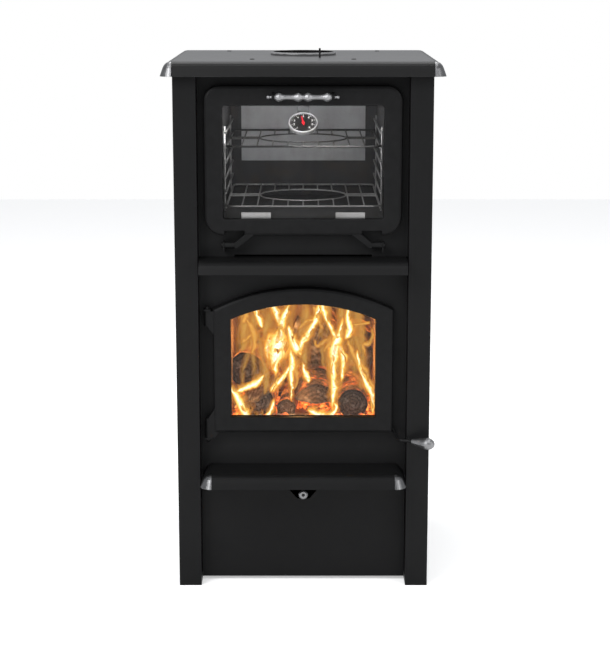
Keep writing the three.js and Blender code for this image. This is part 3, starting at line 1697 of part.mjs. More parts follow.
/** The duct under the firebox that the slider closes, with rails that carry the slider. */
function airBox() {
  const top = shellFloor - shellWall - seat;
  const duct = block(-airBoxHalf, airBoxHalf, airBoxFront, airBoxBack, airBoxBottom, top);
  const inside = block(
    -airBoxHalf + airBoxWall,
    airBoxHalf - airBoxWall,
    airBoxFront + airBoxWall,
    airBoxBack - airBoxWall,
    airBoxBottom + airBoxWall,
    top + 1,
  );
  const port = block(
    -airPortHalf,
    airPortHalf,
    airPortFront,
    airPortBack,
    airBoxBottom - 1,
    airBoxBottom + airBoxWall + 1,
  );
  const lipZ = airBoxBottom - sliderPlate - 2 * seat;
  const railX = sliderHalf + seat;
  const run = [airBoxFront, airBoxBack];
  const rails = [-1, 1].map((side) =>
    join(
      sideBlock(side, railX, railX + railLip, ...run, lipZ - railLip, airBoxBottom + 1),
      sideBlock(side, sliderHalf - railLap, railX + railLip, ...run, lipZ - railLip, lipZ),
    ),
  );
  return join(duct.subtract(inside).subtract(port), ...rails);
}

/** The slider plate with the rod that pulls it. */
function airSlider() {
  const z1 = airBoxBottom - seat;
  const z0 = z1 - sliderPlate;
  const plate = block(-sliderHalf, sliderHalf, sliderFront, sliderBack, z0, z1);
  const lug = block(
    -2 * airRodRadius,
    2 * airRodRadius,
    sliderFront,
    sliderFront + sliderLug,
    airRodZ - airRodRadius,
    z0 + 1,
  );
  const rodFront = airKnobFront + airKnobLength - airKnobSocket + seat;
  const rodBack = sliderFront + sliderLug / 2;
  const rod = bar(at(0, rodFront, airRodZ), at(0, rodBack, airRodZ), airRodRadius, 12);
  return join(plate, lug, rod);
}

/** The chrome knob on the end of the air rod. */
function airKnob() {
  const socket = airRodRadius + bore;
  return turnedAlong(
    [
      [0, airKnobSocket],
      [socket, airKnobSocket],
      [socket, 0],
      [airKnobRadius * 0.62, 0],
      [airKnobRadius * 0.62, airKnobLength * 0.28],
      [airKnobRadius, airKnobLength * 0.43],
      [airKnobRadius, airKnobLength * 0.78],
      [airKnobRadius * 0.72, airKnobLength],
      [airKnobRadius * 0.3, airKnobLength],
      [airKnobRadius * 0.3, airKnobLength * 0.8],
      [0, airKnobLength * 0.8],
    ],
    at(0, airKnobFront + airKnobLength, airRodZ),
    at(0, -1, 0),
    20,
  );
}

piece("air_box", airBox(), panelPaint);
piece("air_slider", airSlider(), castIron);
piece("air_knob", airKnob(), nickel);

// ------------------------------------------------------------------ reference point

stove.position.y = -(hearthFront + cooktopBack) / 2;

export default stove;
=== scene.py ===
"""Looks for a wood-burning cookstove: finishes, fire, fittings and studio round its CAD frame."""

import json
import math
import random

import bmesh
import bpy
from bpy.props import FloatProperty, FloatVectorProperty, IntProperty, PointerProperty
from mathutils import Matrix, Vector, noise


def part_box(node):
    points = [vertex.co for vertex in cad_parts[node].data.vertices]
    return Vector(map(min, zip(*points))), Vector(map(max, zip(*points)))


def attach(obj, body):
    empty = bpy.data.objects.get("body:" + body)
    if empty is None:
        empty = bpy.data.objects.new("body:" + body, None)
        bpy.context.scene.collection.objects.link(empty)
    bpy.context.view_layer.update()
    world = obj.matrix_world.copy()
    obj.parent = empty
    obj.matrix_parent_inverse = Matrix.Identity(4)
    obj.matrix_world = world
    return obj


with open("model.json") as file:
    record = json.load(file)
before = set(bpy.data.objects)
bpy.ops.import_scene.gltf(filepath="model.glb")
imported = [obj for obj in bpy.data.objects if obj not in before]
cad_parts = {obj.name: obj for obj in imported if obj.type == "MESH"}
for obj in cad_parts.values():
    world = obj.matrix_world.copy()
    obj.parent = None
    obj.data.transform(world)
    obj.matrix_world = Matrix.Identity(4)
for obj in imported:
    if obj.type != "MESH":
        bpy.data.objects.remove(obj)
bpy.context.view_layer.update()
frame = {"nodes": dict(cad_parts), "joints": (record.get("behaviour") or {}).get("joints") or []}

bl_info = {
    "name": "Wood Cookstove",
    "version": (1, 0, 0),
    "blender": (4, 5, 0),
    "location": "View3D > Sidebar > Cookstove",
    "description": "Finishes, fire, fittings and studio for a wood-burning cookstove",
    "category": "Object",
}

MM = 0.001

# Depth in this file is counted back from the front posts' faces.
POST_FACE_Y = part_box("left_front_post")[0].y
HALF_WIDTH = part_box("right_front_post")[1].x
COOKTOP_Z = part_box("cooktop")[1].z
FLUE_Y = sum(corner.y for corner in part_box("flue_collar")) / 2
FLUE_RADIUS = 75 * MM


def spot(x, depth, z):
    """A point given in millimetres: across, back from the posts' faces, and up."""
    return Vector((x * MM, POST_FACE_Y + depth * MM, z * MM))


def evenly(low, high, count):
    """Numbers spaced evenly from the first to the last."""
    return [low + (high - low) * i / (count - 1) for i in range(count)]


def neighbours(ring):
    """Each item of a ring with the one after it."""
    return list(zip(ring, [*ring[1:], ring[0]]))


# ------------------------------------------------------------------ settings


def colour_setting(name, description, default):
    return FloatVectorProperty(
        name=name,
        description=description,
        default=default,
        subtype="COLOR",
        size=3,
        min=0.0,
        max=1.0,
    )


def length_setting(name, description, default):
    return FloatProperty(
        name=name,
        description=description,
        default=default,
        min=0.0,
        subtype="DISTANCE",
        unit="LENGTH",
        precision=4,
    )


class CookstoveFinishes(bpy.types.PropertyGroup):
    """Colours of the stove's finishes"""

    satin_black: colour_setting(
        "Satin black", "Paint of the posts, ledges and drawer", (0.008, 0.008, 0.0083)
    )
    matte_black: colour_setting(
        "Matte black", "Paint of the recessed front panels", (0.0135, 0.0135, 0.0138)
    )
    cast_black: colour_setting("Cast black", "Castings of the doors", (0.0078, 0.0078, 0.0081))
    cooktop: colour_setting("Cooktop", "Seasoned steel of the cooktop", (0.10, 0.10, 0.102))
    nickel: colour_setting("Nickel", "Corner caps, grips and knob", (0.48, 0.48, 0.49))
    stainless: colour_setting("Stainless", "Shield and strap in the oven", (0.50, 0.51, 0.53))
    lining: colour_setting("Oven lining", "Walls of the oven", (0.075, 0.075, 0.079))
    wire: colour_setting("Wire", "Racks and their ladders", (0.58, 0.58, 0.59))
    brick: colour_setting("Firebrick", "Bricks of the firebox", (0.42, 0.27, 0.15))
    rope: colour_setting("Rope", "Gaskets of the doors", (0.30, 0.29, 0.27))
    needle: colour_setting("Needle", "Pointer of the thermometer", (0.4, 0.008, 0.015))


class CookstoveFire(bpy.types.PropertyGroup):
    """Sizes and colours of the fire"""

    flame_height: length_setting("Flame height", "Tallest flame over the logs", 0.30)
    flame_count: IntProperty(
        name="Flames", description="How many broad tongues burn behind", default=34, min=1, max=120
    )
    flame_strength: FloatProperty(
        name="Flame strength", description="Brightness of the flames", default=1.25, min=0.0
    )
    ember_size: length_setting("Ember size", "Largest lump in the ember bed", 0.012)
    glow: colour_setting("Glow", "Light of the fire on the bricks", (1.0, 0.5, 0.17))


class CookstoveFittings(bpy.types.PropertyGroup):
    """Sizes of the small fittings"""

    bolt_diameter: length_setting("Bolt diameter", "Heads of the bolts in the cooktop", 0.012)
    screw_diameter: length_setting("Screw diameter", "Heads of the sheet-metal screws", 0.009)
    dial_mark: length_setting("Dial mark", "Length of a mark on the thermometer", 0.0045)


class CookstoveStudio(bpy.types.PropertyGroup):
    """Camera, light and floor"""

    camera_distance: length_setting(
        "Camera distance", "From the camera to the posts' faces", 4.0002
    )
    camera_height: length_setting("Camera height", "Over the floor", 1.4888)
    camera_aside: length_setting("Camera aside", "To the right of the middle", 0.0043)
    camera_tilt: FloatProperty(
        name="Camera tilt",
        description="How far the camera looks down",
        default=math.radians(11.75),
        subtype="ANGLE",
        unit="ROTATION",
    )
    focal_length: FloatProperty(
        name="Focal length",
        description="Focal length on a 36 mm wide sensor",
        default=100.78,
        subtype="DISTANCE_CAMERA",
        unit="CAMERA",
    )
    floor_size: length_setting("Floor size", "Side of the pale floor", 14.0)
    floor: colour_setting("Floor", "Colour of the floor", (0.86, 0.86, 0.86))


# ------------------------------------------------------------------ node graphs


def shade(colour, factor):
    """A colour made darker or lighter."""
    return tuple(min(channel * factor, 1.0) for channel in colour)


def tint(name, factor=1.0):
    """The colour of one of the finishes, as it is set or made darker or lighter."""
    return shade(getattr(bpy.context.scene.cookstove_finishes, name), factor)


WHITE = (1.0, 1.0, 1.0)
EVEN = (1.0, 1.0, 1.0)  # stretched along no axis
EDGE_SAMPLES = 4


class Graph:
    """The node tree of one material or world."""

    def __init__(self, name, store="materials", output="OutputMaterial"):
        self.owner = getattr(bpy.data, store).new(name)
        self.owner.use_nodes = True
        self.tree = self.owner.node_tree
        self.tree.nodes.clear()
        self.output = self.add(output)

    def add(self, kind, sockets=None, **settings):
        """A node of this kind. A socket's value is a number, a colour or another node's output."""
        node = self.tree.nodes.new("ShaderNode" + kind)
        for key, value in settings.items():
            setattr(node, key, value)
        for key, value in (sockets or {}).items():
            if isinstance(value, bpy.types.NodeSocket):
                self.tree.links.new(value, node.inputs[key])
            elif isinstance(value, tuple) and len(value) == 3 and node.inputs[key].type == "RGBA":
                node.inputs[key].default_value = (*value, 1.0)
            else:
                node.inputs[key].default_value = value
        return node

    def out(self, kind, sockets=None, output=0, **settings):
        """An output of a new node: its first, or the one named."""
        return self.add(kind, sockets, **settings).outputs[output]

    def place(self, stretch=EVEN):
        """Coordinates on the piece, in metres, squeezed or stretched along each axis."""
        coordinates = self.out("TexCoord", output="Object")
        return coordinates if stretch == EVEN else self.scaled(coordinates, stretch)

    def scaled(self, vector, scale):
        return self.out("Mapping", {"Vector": vector, "Scale": scale})

    def component(self, axis, vector=None):
        """One axis of a vector, or of the place on the piece."""
        return self.out("SeparateXYZ", {0: vector or self.place()}, axis)

    def attribute(self, name, output="Vector"):
        return self.out("Attribute", output=output, attribute_name=name)

    def noise(self, scale, detail=3.0, roughness=0.55, stretch=EVEN, vector=None, output="Fac"):
        """Cloudy noise over the piece, or over another vector."""
        place = vector or self.place(stretch)
        sockets = {"Vector": place, "Scale": scale, "Detail": detail, "Roughness": roughness}
        return self.out("TexNoise", sockets, output)

    def ramp(self, value, *stops):
        """A colour or grey picked by a value; each stop is (position, colour or grey)."""
        node = self.add("ValToRGB", {"Fac": value})
        elements = node.color_ramp.elements
        while len(elements) < len(stops):
            elements.new(0.5)
        for element, (position, colour) in zip(elements, stops):
            element.position = position
            element.color = (*(colour if isinstance(colour, tuple) else (colour,) * 3), 1.0)
        return node.outputs["Color"]

    def spread(self, value, low, high, from_low=0.3, from_high=0.7):
        """A value carried from one range to another."""
        limits = {"From Min": from_low, "From Max": from_high, "To Min": low, "To Max": high}
        return self.out("MapRange", {"Value": value, **limits})

    def math(self, operation, a, b=0.0, clamp=False):
        return self.out("Math", {0: a, 1: b}, operation=operation, use_clamp=clamp)

    def times(self, a, b, clamp=False):
        return self.math("MULTIPLY", a, b, clamp)

    def plus(self, a, b):
        return self.math("ADD", a, b)

    def minus(self, a, b):
        return self.math("SUBTRACT", a, b)

    def vector(self, operation, *operands):
        output = "Value" if operation in ("LENGTH", "DOT_PRODUCT") else "Vector"
        return self.out("VectorMath", dict(enumerate(operands)), output, operation=operation)

    def blend(self, factor, a, b):
        """Two colours mixed by a factor."""
        return self.out("Mix", {0: factor, 6: a, 7: b}, 2, data_type="RGBA", clamp_factor=True)

    def mottled(self, value, colour, dark, light, low=0.3, high=0.7):
        """A colour that drifts between a darker and a lighter shade."""
        return self.ramp(value, (low, shade(colour, dark)), (high, shade(colour, light)))

    def stained(self, tone, value, amount, colour, low=0.3, high=0.7):
        """A tone with a second colour laid over it, up to an amount, where a value is high."""
        return self.blend(self.spread(value, 0.0, amount, low, high), tone, colour)

    def rounded(self, radius):
        """Normals that read as edges rounded to the radius."""
        return self.out("Bevel", {"Radius": radius}, samples=EDGE_SAMPLES)

    def edge_wear(self, radius, scale, low, high=1.0):
        """0 on the flats, and uneven wear along edges that are sharper than the radius."""
        true = self.out("NewGeometry", output="Normal")
        same = self.vector("DOT_PRODUCT", self.rounded(radius), true)
        edges = self.spread(same, 1.0, 0.0, 0.75, 0.995)
        return self.times(edges, self.spread(self.noise(scale), low, high))

    def bump(self, height, distance, strength, normal=None):
        sockets = {"Height": height, "Distance": distance, "Strength": strength}
        if normal:
            sockets["Normal"] = normal
        return self.out("Bump", sockets)

    def mix_shaders(self, factor, a, b):
        return self.out("MixShader", {0: factor, 1: a, 2: b})

    def finish(self, shader):
        """The finished material or world."""
        self.tree.links.new(shader, self.output.inputs["Surface"])
        return self.owner

    def principled(self, tone, roughness, normal=None, **others):
        """The finished material of an opaque surface. A _ in a socket's name is a space."""
        sockets = {"Base Color": tone, "Roughness": roughness}
        if normal:
            sockets["Normal"] = normal
        for name, value in others.items():
            sockets[name.replace("_", " ")] = value
        return self.finish(self.out("BsdfPrincipled", sockets))


# ------------------------------------------------------------------ finishes

PAINT_SHEEN = 0.15
MILL_LINES = (1.0, 28.0, 28.0)
BRUSHED_LINES = (1.0, 40.0, 40.0)


def stove_paint(name, colour, roughness, grain):
    """Baked stove paint: fine stipple, slow drift of tone and gloss, and burnished edges."""
    g = Graph(name)
    edge = 1.2 * MM
    rubbed = g.edge_wear(edge, 24.0, 0.1)
    tone = g.mottled(g.noise(5.0, 4.0), colour, 0.9, 1.1, 0.32, 0.68)
    tone = g.stained(tone, g.noise(38.0), 0.25, shade(colour, 1.25))
    tone = g.blend(g.times(rubbed, 0.6), tone, shade(colour, 3.0))
    gloss = g.spread(g.noise(16.0, 4.0), roughness - 0.02, roughness + 0.03)
    gloss = g.minus(gloss, g.times(rubbed, 0.12))
    normal = g.bump(g.noise(grain, 2.0), 0.06 * MM, 0.5, g.rounded(edge))
    return g.principled(tone, gloss, normal, Specular_IOR_Level=PAINT_SHEEN)


def casting(name, colour):
    """Painted grey iron: sand-cast grain, with a little more sheen on the edges."""
    g = Graph(name)
    grain = g.noise(620.0, 3.0, 0.6)
    lumps = g.noise(60.0)
    rubbed = g.edge_wear(1.6 * MM, 30.0, 0.15)
    tone = g.mottled(lumps, colour, 0.85, 1.2)
    tone = g.blend(g.times(rubbed, 0.55), tone, shade(colour, 3.2))
    gloss = g.minus(g.spread(grain, 0.4, 0.52), g.times(rubbed, 0.1))
    height = g.plus(g.times(grain, 0.5), lumps)
    normal = g.bump(height, 0.16 * MM, 0.5, g.rounded(1.4 * MM))
    return g.principled(tone, gloss, normal, Specular_IOR_Level=PAINT_SHEEN)


def painted_folds(g, tone, flat, colour):
    """Paint on what is folded down from a flat top."""
    return g.blend(flat, shade(colour, 0.08), tone)


def sooty_collar(g, tone, flat, colour):
    """A collar whose upright wall is painted pale as painted light, with a ragged dark weld and
    painted contact shadow at its foot, and soot and painted shade in its bore.
    """
    # Painted light: the upright wall is made pale as if lit, while the flat rim keeps the steel's
    # tone.
    tone = g.blend(flat, shade(colour, 3.4), tone)
    # A ragged dark line at the collar's foot: a weld, and painted contact shadow where the collar
    # meets the plate.
    ripple = g.times(g.noise(26.0, 2.0, stretch=(1.0, 1.0, 0.0)), 6 * MM)
    height = g.minus(g.minus(g.component("Z"), ripple), COOKTOP_Z)
    weld_and_contact_shadow = g.times(g.math("LESS_THAN", height, 1.5 * MM), 0.8)
    tone = g.blend(weld_and_contact_shadow, tone, (0.012, 0.012, 0.012))
    beyond = g.vector("SUBTRACT", g.place(), (0.0, FLUE_Y, 0.0))
    level = g.vector("MULTIPLY", beyond, (1.0, 1.0, 0.0))
    reach = g.vector("LENGTH", level)
    # Near black inside the bore: soot, and painted shade down the flue's hole.
    soot = g.math("LESS_THAN", reach, FLUE_RADIUS + 0.5 * MM)
    return g.blend(soot, tone, (0.004, 0.004, 0.004))


def seasoned_steel(name, colour, cover):
    """Rolled steel with faint mill lines and oil bloom, and what covers its upright parts."""
    g = Graph(name)
    mill = g.noise(60.0, 4.0, 0.6, MILL_LINES)
    bloom = g.noise(4.5, 5.0, 0.6)
    tone = g.mottled(bloom, colour, 0.86, 1.12)
    tone = g.stained(tone, g.noise(22.0, 4.0), 0.3, shade(colour, 1.25))
    up = g.component("Z", g.out("NewGeometry", output="Normal"))
    flat = g.spread(up, 0.0, 1.0, 0.975, 0.995)
    tone = cover(g, tone, flat, colour)
    tone = g.blend(g.edge_wear(1.4 * MM, 18.0, 0.0, 0.7), tone, shade(colour, 1.5))
    gloss = g.spread(g.plus(g.times(mill, 0.5), g.times(bloom, 0.5)), 0.3, 0.46)
    normal = g.bump(mill, 0.03 * MM, 0.4, g.rounded(1.0 * MM))
    metallic = g.spread(flat, 0.0, 0.35, 0.0, 1.0)
    return g.principled(tone, gloss, normal, Metallic=metallic, Specular_IOR_Level=0.16)


def plated(name, colour, roughness, waviness):
    """Nickel plate over a polished casting: faint waves, fine hairlines and finger haze."""
    g = Graph(name)
    haze = g.noise(90.0, 4.0)
    hair = g.noise(240.0, 3.0, 0.6, (1.0, 12.0, 12.0))
    tone = g.mottled(haze, colour, 0.88, 1.04)
    gloss = g.spread(haze, roughness - 0.04, roughness + 0.08)
    height = g.plus(g.noise(55.0, 2.0), g.times(hair, 0.12))
    normal = g.bump(height, 0.3 * MM, waviness, g.rounded(0.8 * MM))
    return g.principled(tone, gloss, normal, Metallic=1.0)


def brushed(name, colour, roughness, lines=BRUSHED_LINES, heat=0.0):
    """Brushed sheet metal, with heat tint where asked."""
    g = Graph(name)
    hair = g.noise(120.0, 4.0, 0.65, lines)
    tone = g.mottled(hair, colour, 0.86, 1.1)
    tone = g.stained(tone, g.noise(7.0, 4.0), 0.35, shade(colour, 0.72))
    if heat:
        tone = g.stained(tone, g.noise(11.0, 5.0, 0.65), heat, (0.16, 0.10, 0.05), 0.5, 0.75)
    gloss = g.spread(hair, roughness - 0.06, roughness + 0.1)
    normal = g.bump(hair, 0.02 * MM, 0.5, g.rounded(0.6 * MM))
    return g.principled(tone, gloss, normal, Metallic=0.9)


def fired_brick(name, colour):
    """Firebrick: sandy pits, and soot that gathers high up and close behind the glass."""
    g = Graph(name)
    sand = g.noise(420.0, 4.0, 0.65)
    patches = g.noise(9.0, 5.0, 0.6)
    tone = g.ramp(patches, (0.3, shade(colour, 0.55)), (0.5, colour), (0.7, shade(colour, 1.35)))
    tone = g.stained(tone, sand, 0.4, shade(colour, 0.5))
    soot = g.spread(g.component("Z"), 0.0, 0.55, 0.52, 0.76)
    soot = g.times(soot, g.spread(patches, 0.5, 1.3), clamp=True)
    tone = g.blend(soot, tone, (0.03, 0.022, 0.018))
    glass_y, clean_y = POST_FACE_Y + 70 * MM, POST_FACE_Y + 130 * MM
    near = g.spread(g.component("Y"), 0.95, 0.0, glass_y, clean_y)
    tone = g.blend(near, tone, (0.02, 0.014, 0.011))
    relief = g.plus(sand, g.times(g.noise(95.0), 1.6))
    normal = g.bump(relief, 0.8 * MM, 0.7, g.rounded(1.5 * MM))
    return g.principled(tone, 0.92, normal, Specular_IOR_Level=0.2)


def braided_rope(name, colour):
    """Fibre gasket: a slanted braid with loose fuzz and a little soot."""
    g = Graph(name)
    braid = {"Vector": g.place(), "Scale": 105.0, "Distortion": 1.5, "Detail": 2.0}
    weave = g.out("TexWave", braid, "Fac", bands_direction="DIAGONAL")
    tone = g.mottled(weave, colour, 0.5, 1.15, 0.15)
    tone = g.stained(tone, g.noise(30.0, 4.0), 0.6, shade(colour, 0.35))
    height = g.plus(weave, g.times(g.noise(900.0), 0.35))
    return g.principled(tone, 0.95, g.bump(height, 0.8 * MM, 0.9, g.rounded(2.0 * MM)))


def stove_glass(name, smoke):
    """Ceramic glass: nearly clear, with a faint haze of smoke that thickens in patches."""
    g = Graph(name)
    film = g.noise(9.0, 5.0, 0.6)
    smear = g.noise(60.0, 3.0, 0.6, (1.0, 1.0, 0.15))
    haze = g.times(g.spread(film, 0.2, 1.0), g.spread(smear, 0.6, 1.0))
    clean = shade(WHITE, 1.0 - smoke * 0.2)
    clear = g.ramp(haze, (0.0, clean), (1.0, shade((1.0, 0.985, 0.96), 1.0 - smoke)))
    through = g.out("BsdfTransparent", {"Color": clear})
    gloss = g.out("BsdfGlossy", {"Roughness": g.spread(smear, 0.02, 0.07)})
    return g.finish(g.mix_shaders(g.out("Fresnel", {"IOR": 1.28}), through, gloss))


def bark_finish():
    """Charring bark: deep cracks, grey ash on the ridges and ember light in the cracks."""
    g = Graph("charred_bark")
    along = g.attribute("grain")
    wander = g.noise(2.5, 3.0, 0.5, vector=along, output="Color")
    checked = g.vector("ADD", g.scaled(along, (1.0, 1.0, 2.4)), wander)
    cells = {"Vector": checked, "Scale": 2.4, "Randomness": 1.0}
    cracks = g.out("TexVoronoi", cells, "Distance", feature="DISTANCE_TO_EDGE")
    fine = g.noise(7.0, 6.0, 0.65, vector=along)
    browns = (0.36, (0.04, 0.022, 0.014)), (0.5, (0.24, 0.12, 0.06)), (0.64, (0.46, 0.27, 0.15))
    tone = g.stained(g.ramp(fine, *browns), g.noise(16.0, 4.0), 0.7, (0.035, 0.022, 0.016))
    gap = g.spread(cracks, 1.0, 0.0, 0.02, 0.16)
    tone = g.blend(gap, tone, (0.012, 0.007, 0.005))
    hot = g.times(gap, g.spread(g.noise(22.0), 0.0, 1.0, 0.44, 0.56), clamp=True)
    glow = g.ramp(hot, (0.0, 0.0), (0.4, (0.5, 0.05, 0.005)), (1.0, (1.0, 0.34, 0.05)))
    height = g.plus(g.spread(cracks, 0.0, 1.0, 0.0, 0.25), g.times(fine, 0.8))
    normal = g.bump(height, 4.0 * MM, 0.9)
    return g.principled(tone, 0.9, normal, Emission_Color=glow, Emission_Strength=1.3)


def end_grain_finish():
    """Sawn end of a log: growth rings, radial checks and a charred rim."""
    g = Graph("end_grain")
    across = g.attribute("grain")
    radius = g.vector("LENGTH", across)
    wobble = g.plus(g.times(radius, 4.5), g.noise(1.6, vector=across))
    rings = g.spread(g.math("SINE", g.times(wobble, math.tau)), 0.0, 1.0, -1.0, 1.0)
    fine = g.noise(6.0, 5.0, 0.65, vector=across)
    tone = g.ramp(rings, (0.2, (0.07, 0.045, 0.03)), (0.8, (0.2, 0.14, 0.1)))
    tone = g.stained(tone, fine, 0.8, (0.03, 0.022, 0.018), 0.4, 0.6)
    ash = g.noise(2.2, 4.0, 0.6, vector=across)
    tone = g.stained(tone, ash, 0.7, (0.42, 0.37, 0.32), 0.52, 0.7)
    way = g.vector("NORMALIZE", across)
    rays = g.math("ABSOLUTE", g.minus(g.noise(3.5, vector=way), 0.5))
    check = g.times(g.spread(rays, 0.9, 0.0, 0.0, 0.025), g.spread(radius, 0.0, 1.0, 0.2, 0.5))
    tone = g.blend(check, tone, (0.01, 0.007, 0.006))
    tone = g.stained(tone, radius, 0.9, (0.02, 0.013, 0.01), 0.6, 0.95)
    return g.principled(tone, 0.93, g.bump(fine, 2.0 * MM, 0.7))


def split_face_finish():
    """Split face of a log: long pale fibres, greyed and singed."""
    g = Graph("split_face")
    stretched = g.scaled(g.attribute("grain"), (1.0, 1.0, 0.12))
    fibres = g.noise(9.0, 6.0, 0.6, vector=stretched)
    greys = (0.38, (0.09, 0.08, 0.075)), (0.5, (0.25, 0.22, 0.2)), (0.62, (0.5, 0.46, 0.42))
    tone = g.ramp(fibres, *greys)
    tone = g.stained(tone, g.noise(18.0, 4.0), 0.8, (0.05, 0.038, 0.03), 0.45, 0.6)
    return g.principled(tone, 0.9, g.bump(fibres, 2.2 * MM, 0.8))


def ember_finish():
    """Char and ash: dark lumps with pale ash on them, and glowing hollows."""
    g = Graph("ember")
    hot = g.noise(70.0)
    tone = g.ramp(hot, (0.35, (0.25, 0.22, 0.2)), (0.6, (0.03, 0.02, 0.018)))
    glow = g.ramp(hot, (0.42, 0.0), (0.55, (0.75, 0.1, 0.01)), (0.75, (1.0, 0.5, 0.1)))
    normal = g.bump(g.noise(200.0, 4.0), 1.0 * MM, 0.8)
    return g.principled(tone, 0.95, normal, Emission_Color=glow, Emission_Strength=2.2)


def flame_finish(name, strength, density, stops):
    """Flame: a hot core that reddens and thins out towards its rim and its ends."""
    g = Graph(name)
    fade = g.attribute("fade", "Fac")
    weave = g.attribute("weave")
    warp = g.noise(0.9, 1.0, 0.5, vector=weave, output="Color")
    licks = g.noise(1.5, 2.0, 0.45, vector=g.vector("ADD", weave, warp))
    thread = g.spread(g.math("ABSOLUTE", g.minus(licks, 0.5)), 1.0, 0.0, 0.0, 0.08)
    body = g.spread(licks, 0.0, 1.0, 0.38, 0.62)
    power = g.times(fade, g.plus(g.times(thread, 0.45), g.times(body, 0.75)), clamp=True)
    alpha = g.spread(power, 0.0, density, 0.02, 0.6)
    light = g.out("Emission", {"Color": g.ramp(power, *stops), "Strength": strength})
    return g.finish(g.mix_shaders(alpha, g.out("BsdfTransparent"), light))


# ------------------------------------------------------------------ pieces


def put(name, data):
    """A new object in the scene."""
    thing = bpy.data.objects.new(name, data)
    bpy.context.scene.collection.objects.link(thing)
    return thing


def add_piece(name, mesh, materials, body, smooth_angle):
    """A mesh as a piece that rides on a body, smooth where it bends by less than the angle."""
    for material in materials:
        mesh.materials.append(material)
    if smooth_angle:
        mesh.shade_smooth()
        mesh.set_sharp_from_angle(angle=math.radians(smooth_angle))
    piece = put(name, mesh)
    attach(piece, body)


def clad(material, *nodes):
    """Gives CAD pieces a finish."""
    for node in nodes:
        slots = frame["nodes"][node].data.materials
        slots.clear()
        slots.append(material)


def pair(name):
    """The names of a left and a right piece; a * stands for the side."""
    return [name.replace("*", side) for side in ("left", "right")]


def mesh_from(name, vertices, faces):
    mesh = bpy.data.meshes.new(name)
    mesh.from_pydata([tuple(vertex) for vertex in vertices], [], faces)
    mesh.validate()
    mesh.update()
    return mesh


def carry_vectors(mesh, name, vectors):
    """Stores a vector on each vertex, for the material to read."""
    attribute = mesh.attributes.new(name, "FLOAT_VECTOR", "POINT")
    attribute.data.foreach_set("vector", [number for vector in vectors for number in vector])


def tube_faces(rows, around):
    """The quads of a tube whose vertices are listed ring by ring."""
    return [
        (row + j, row + k, row + around + k, row + around + j)
        for row in range(0, (rows - 1) * around, around)
        for j, k in neighbours(range(around))
    ]


def closed(bm, name):
    """The mesh of a finished shape, with its faces turned outwards."""
    bmesh.ops.recalc_face_normals(bm, faces=bm.faces)
    mesh = bpy.data.meshes.new(name)
    bm.to_mesh(mesh)
    bm.free()
    return mesh


def bridge(bm, low, high):
    """Faces between two rings of vertices; a ring of one vertex is a point on the axis."""
    count = max(len(low), len(high))
    for i in range(count):
        j = (i + 1) % count
        corners = (low[i % len(low)], low[j % len(low)], high[j % len(high)], high[i % len(high)])
        bm.faces.new(list(dict.fromkeys(corners)))


def circle(count):
    return [(math.cos(math.tau * i / count), math.sin(math.tau * i / count)) for i in range(count)]


def ring_maker(bm, point, out):
    """A function that adds a ring of (x, y) points at a height over a point of a surface."""
    turn = Vector((0, 0, 1)).rotation_difference(Vector(out)).to_matrix()

    def ring(points, height, scale=1.0):
        flat = [Vector((x * scale, y * scale, height)) for x, y in points]
        return [bm.verts.new(Vector(point) + turn @ place) for place in flat]

    return ring


HEAD_SUNK = 0.2 * MM
HEAD_SIDES = 20
DOME_STEPS = 5
SCREW_SIDES = 24
CROSS_CORNERS = SCREW_SIDES // 2


def domed_heads(name, places, diameter, dome, material, body):
    """Round heads of bolts or screws; each place is (point on the surface, direction out)."""
    bm = bmesh.new()
    radius = diameter / 2
    brim = radius * 0.12
    for point, out in places:
        ring = ring_maker(bm, point, out)
        rings = [ring([(0, 0)], -HEAD_SUNK)]
        rings.append(ring(circle(HEAD_SIDES), -HEAD_SUNK, radius * 0.9))
        rings.append(ring(circle(HEAD_SIDES), brim, radius))
        for step in range(1, DOME_STEPS):
            angle = math.pi / 2 * step / DOME_STEPS
            height = brim + radius * dome * math.sin(angle)
            rings.append(ring(circle(HEAD_SIDES), height, radius * math.cos(angle)))
        rings.append(ring([(0, 0)], brim + radius * dome))
        for low, high in zip(rings, rings[1:]):
            bridge(bm, low, high)
    add_piece(name, closed(bm, name), [material], body, 50)


def cross_screws(name, places, diameter, material, body):
    """Pan-head screws with a cross recess; each place is (point on the surface, direction out)."""
    bm = bmesh.new()
    radius = diameter / 2
    top = radius * 0.5
    arm, half = radius * 0.55, radius * 0.13
    cross = []
    for quarter in range(4):
        spin = Matrix.Rotation(math.pi / 2 * quarter, 2)
        cross += [spin @ Vector(corner) for corner in ((arm, -half), (arm, half), (half, half))]
    for point, out in places:
        ring = ring_maker(bm, point, out)
        foot = ring(circle(SCREW_SIDES), -HEAD_SUNK, radius)
        side = ring(circle(SCREW_SIDES), radius * 0.28, radius)
        brow = ring(circle(SCREW_SIDES), top, radius * 0.78)
        mouth = ring(cross, top)
        floor = ring(cross, top - radius * 0.3)
        bm.faces.new(foot[::-1])
        bridge(bm, foot, side)
        bridge(bm, side, brow)
        bridge(bm, mouth, floor)
        bm.faces.new(floor)
        for i in range(CROSS_CORNERS):
            a, b, c = (brow[(2 * i + step) % SCREW_SIDES] for step in range(3))
            bm.faces.new((a, b, mouth[i]))
            bm.faces.new((b, c, mouth[i]))
            bm.faces.new((c, mouth[(i + 1) % CROSS_CORNERS], mouth[i]))
    add_piece(name, closed(bm, name), [material], body, 35)


class CookstoveOperator(bpy.types.Operator):
    """Base of the operators that dress the stove"""

    bl_options = {"REGISTER", "UNDO"}


# ------------------------------------------------------------------ shell

SCREW_INSET = 18 * MM
REAR_SCREW_ROWS = 6
REAR_SCREWS_ACROSS = (-120 * MM, 0.0, 120 * MM)
SIDE_SCREW_ROWS = 4
SIDE_SCREWS_FROM_FOOT = 50 * MM
SIDE_SCREWS_FROM_TOP = 70 * MM


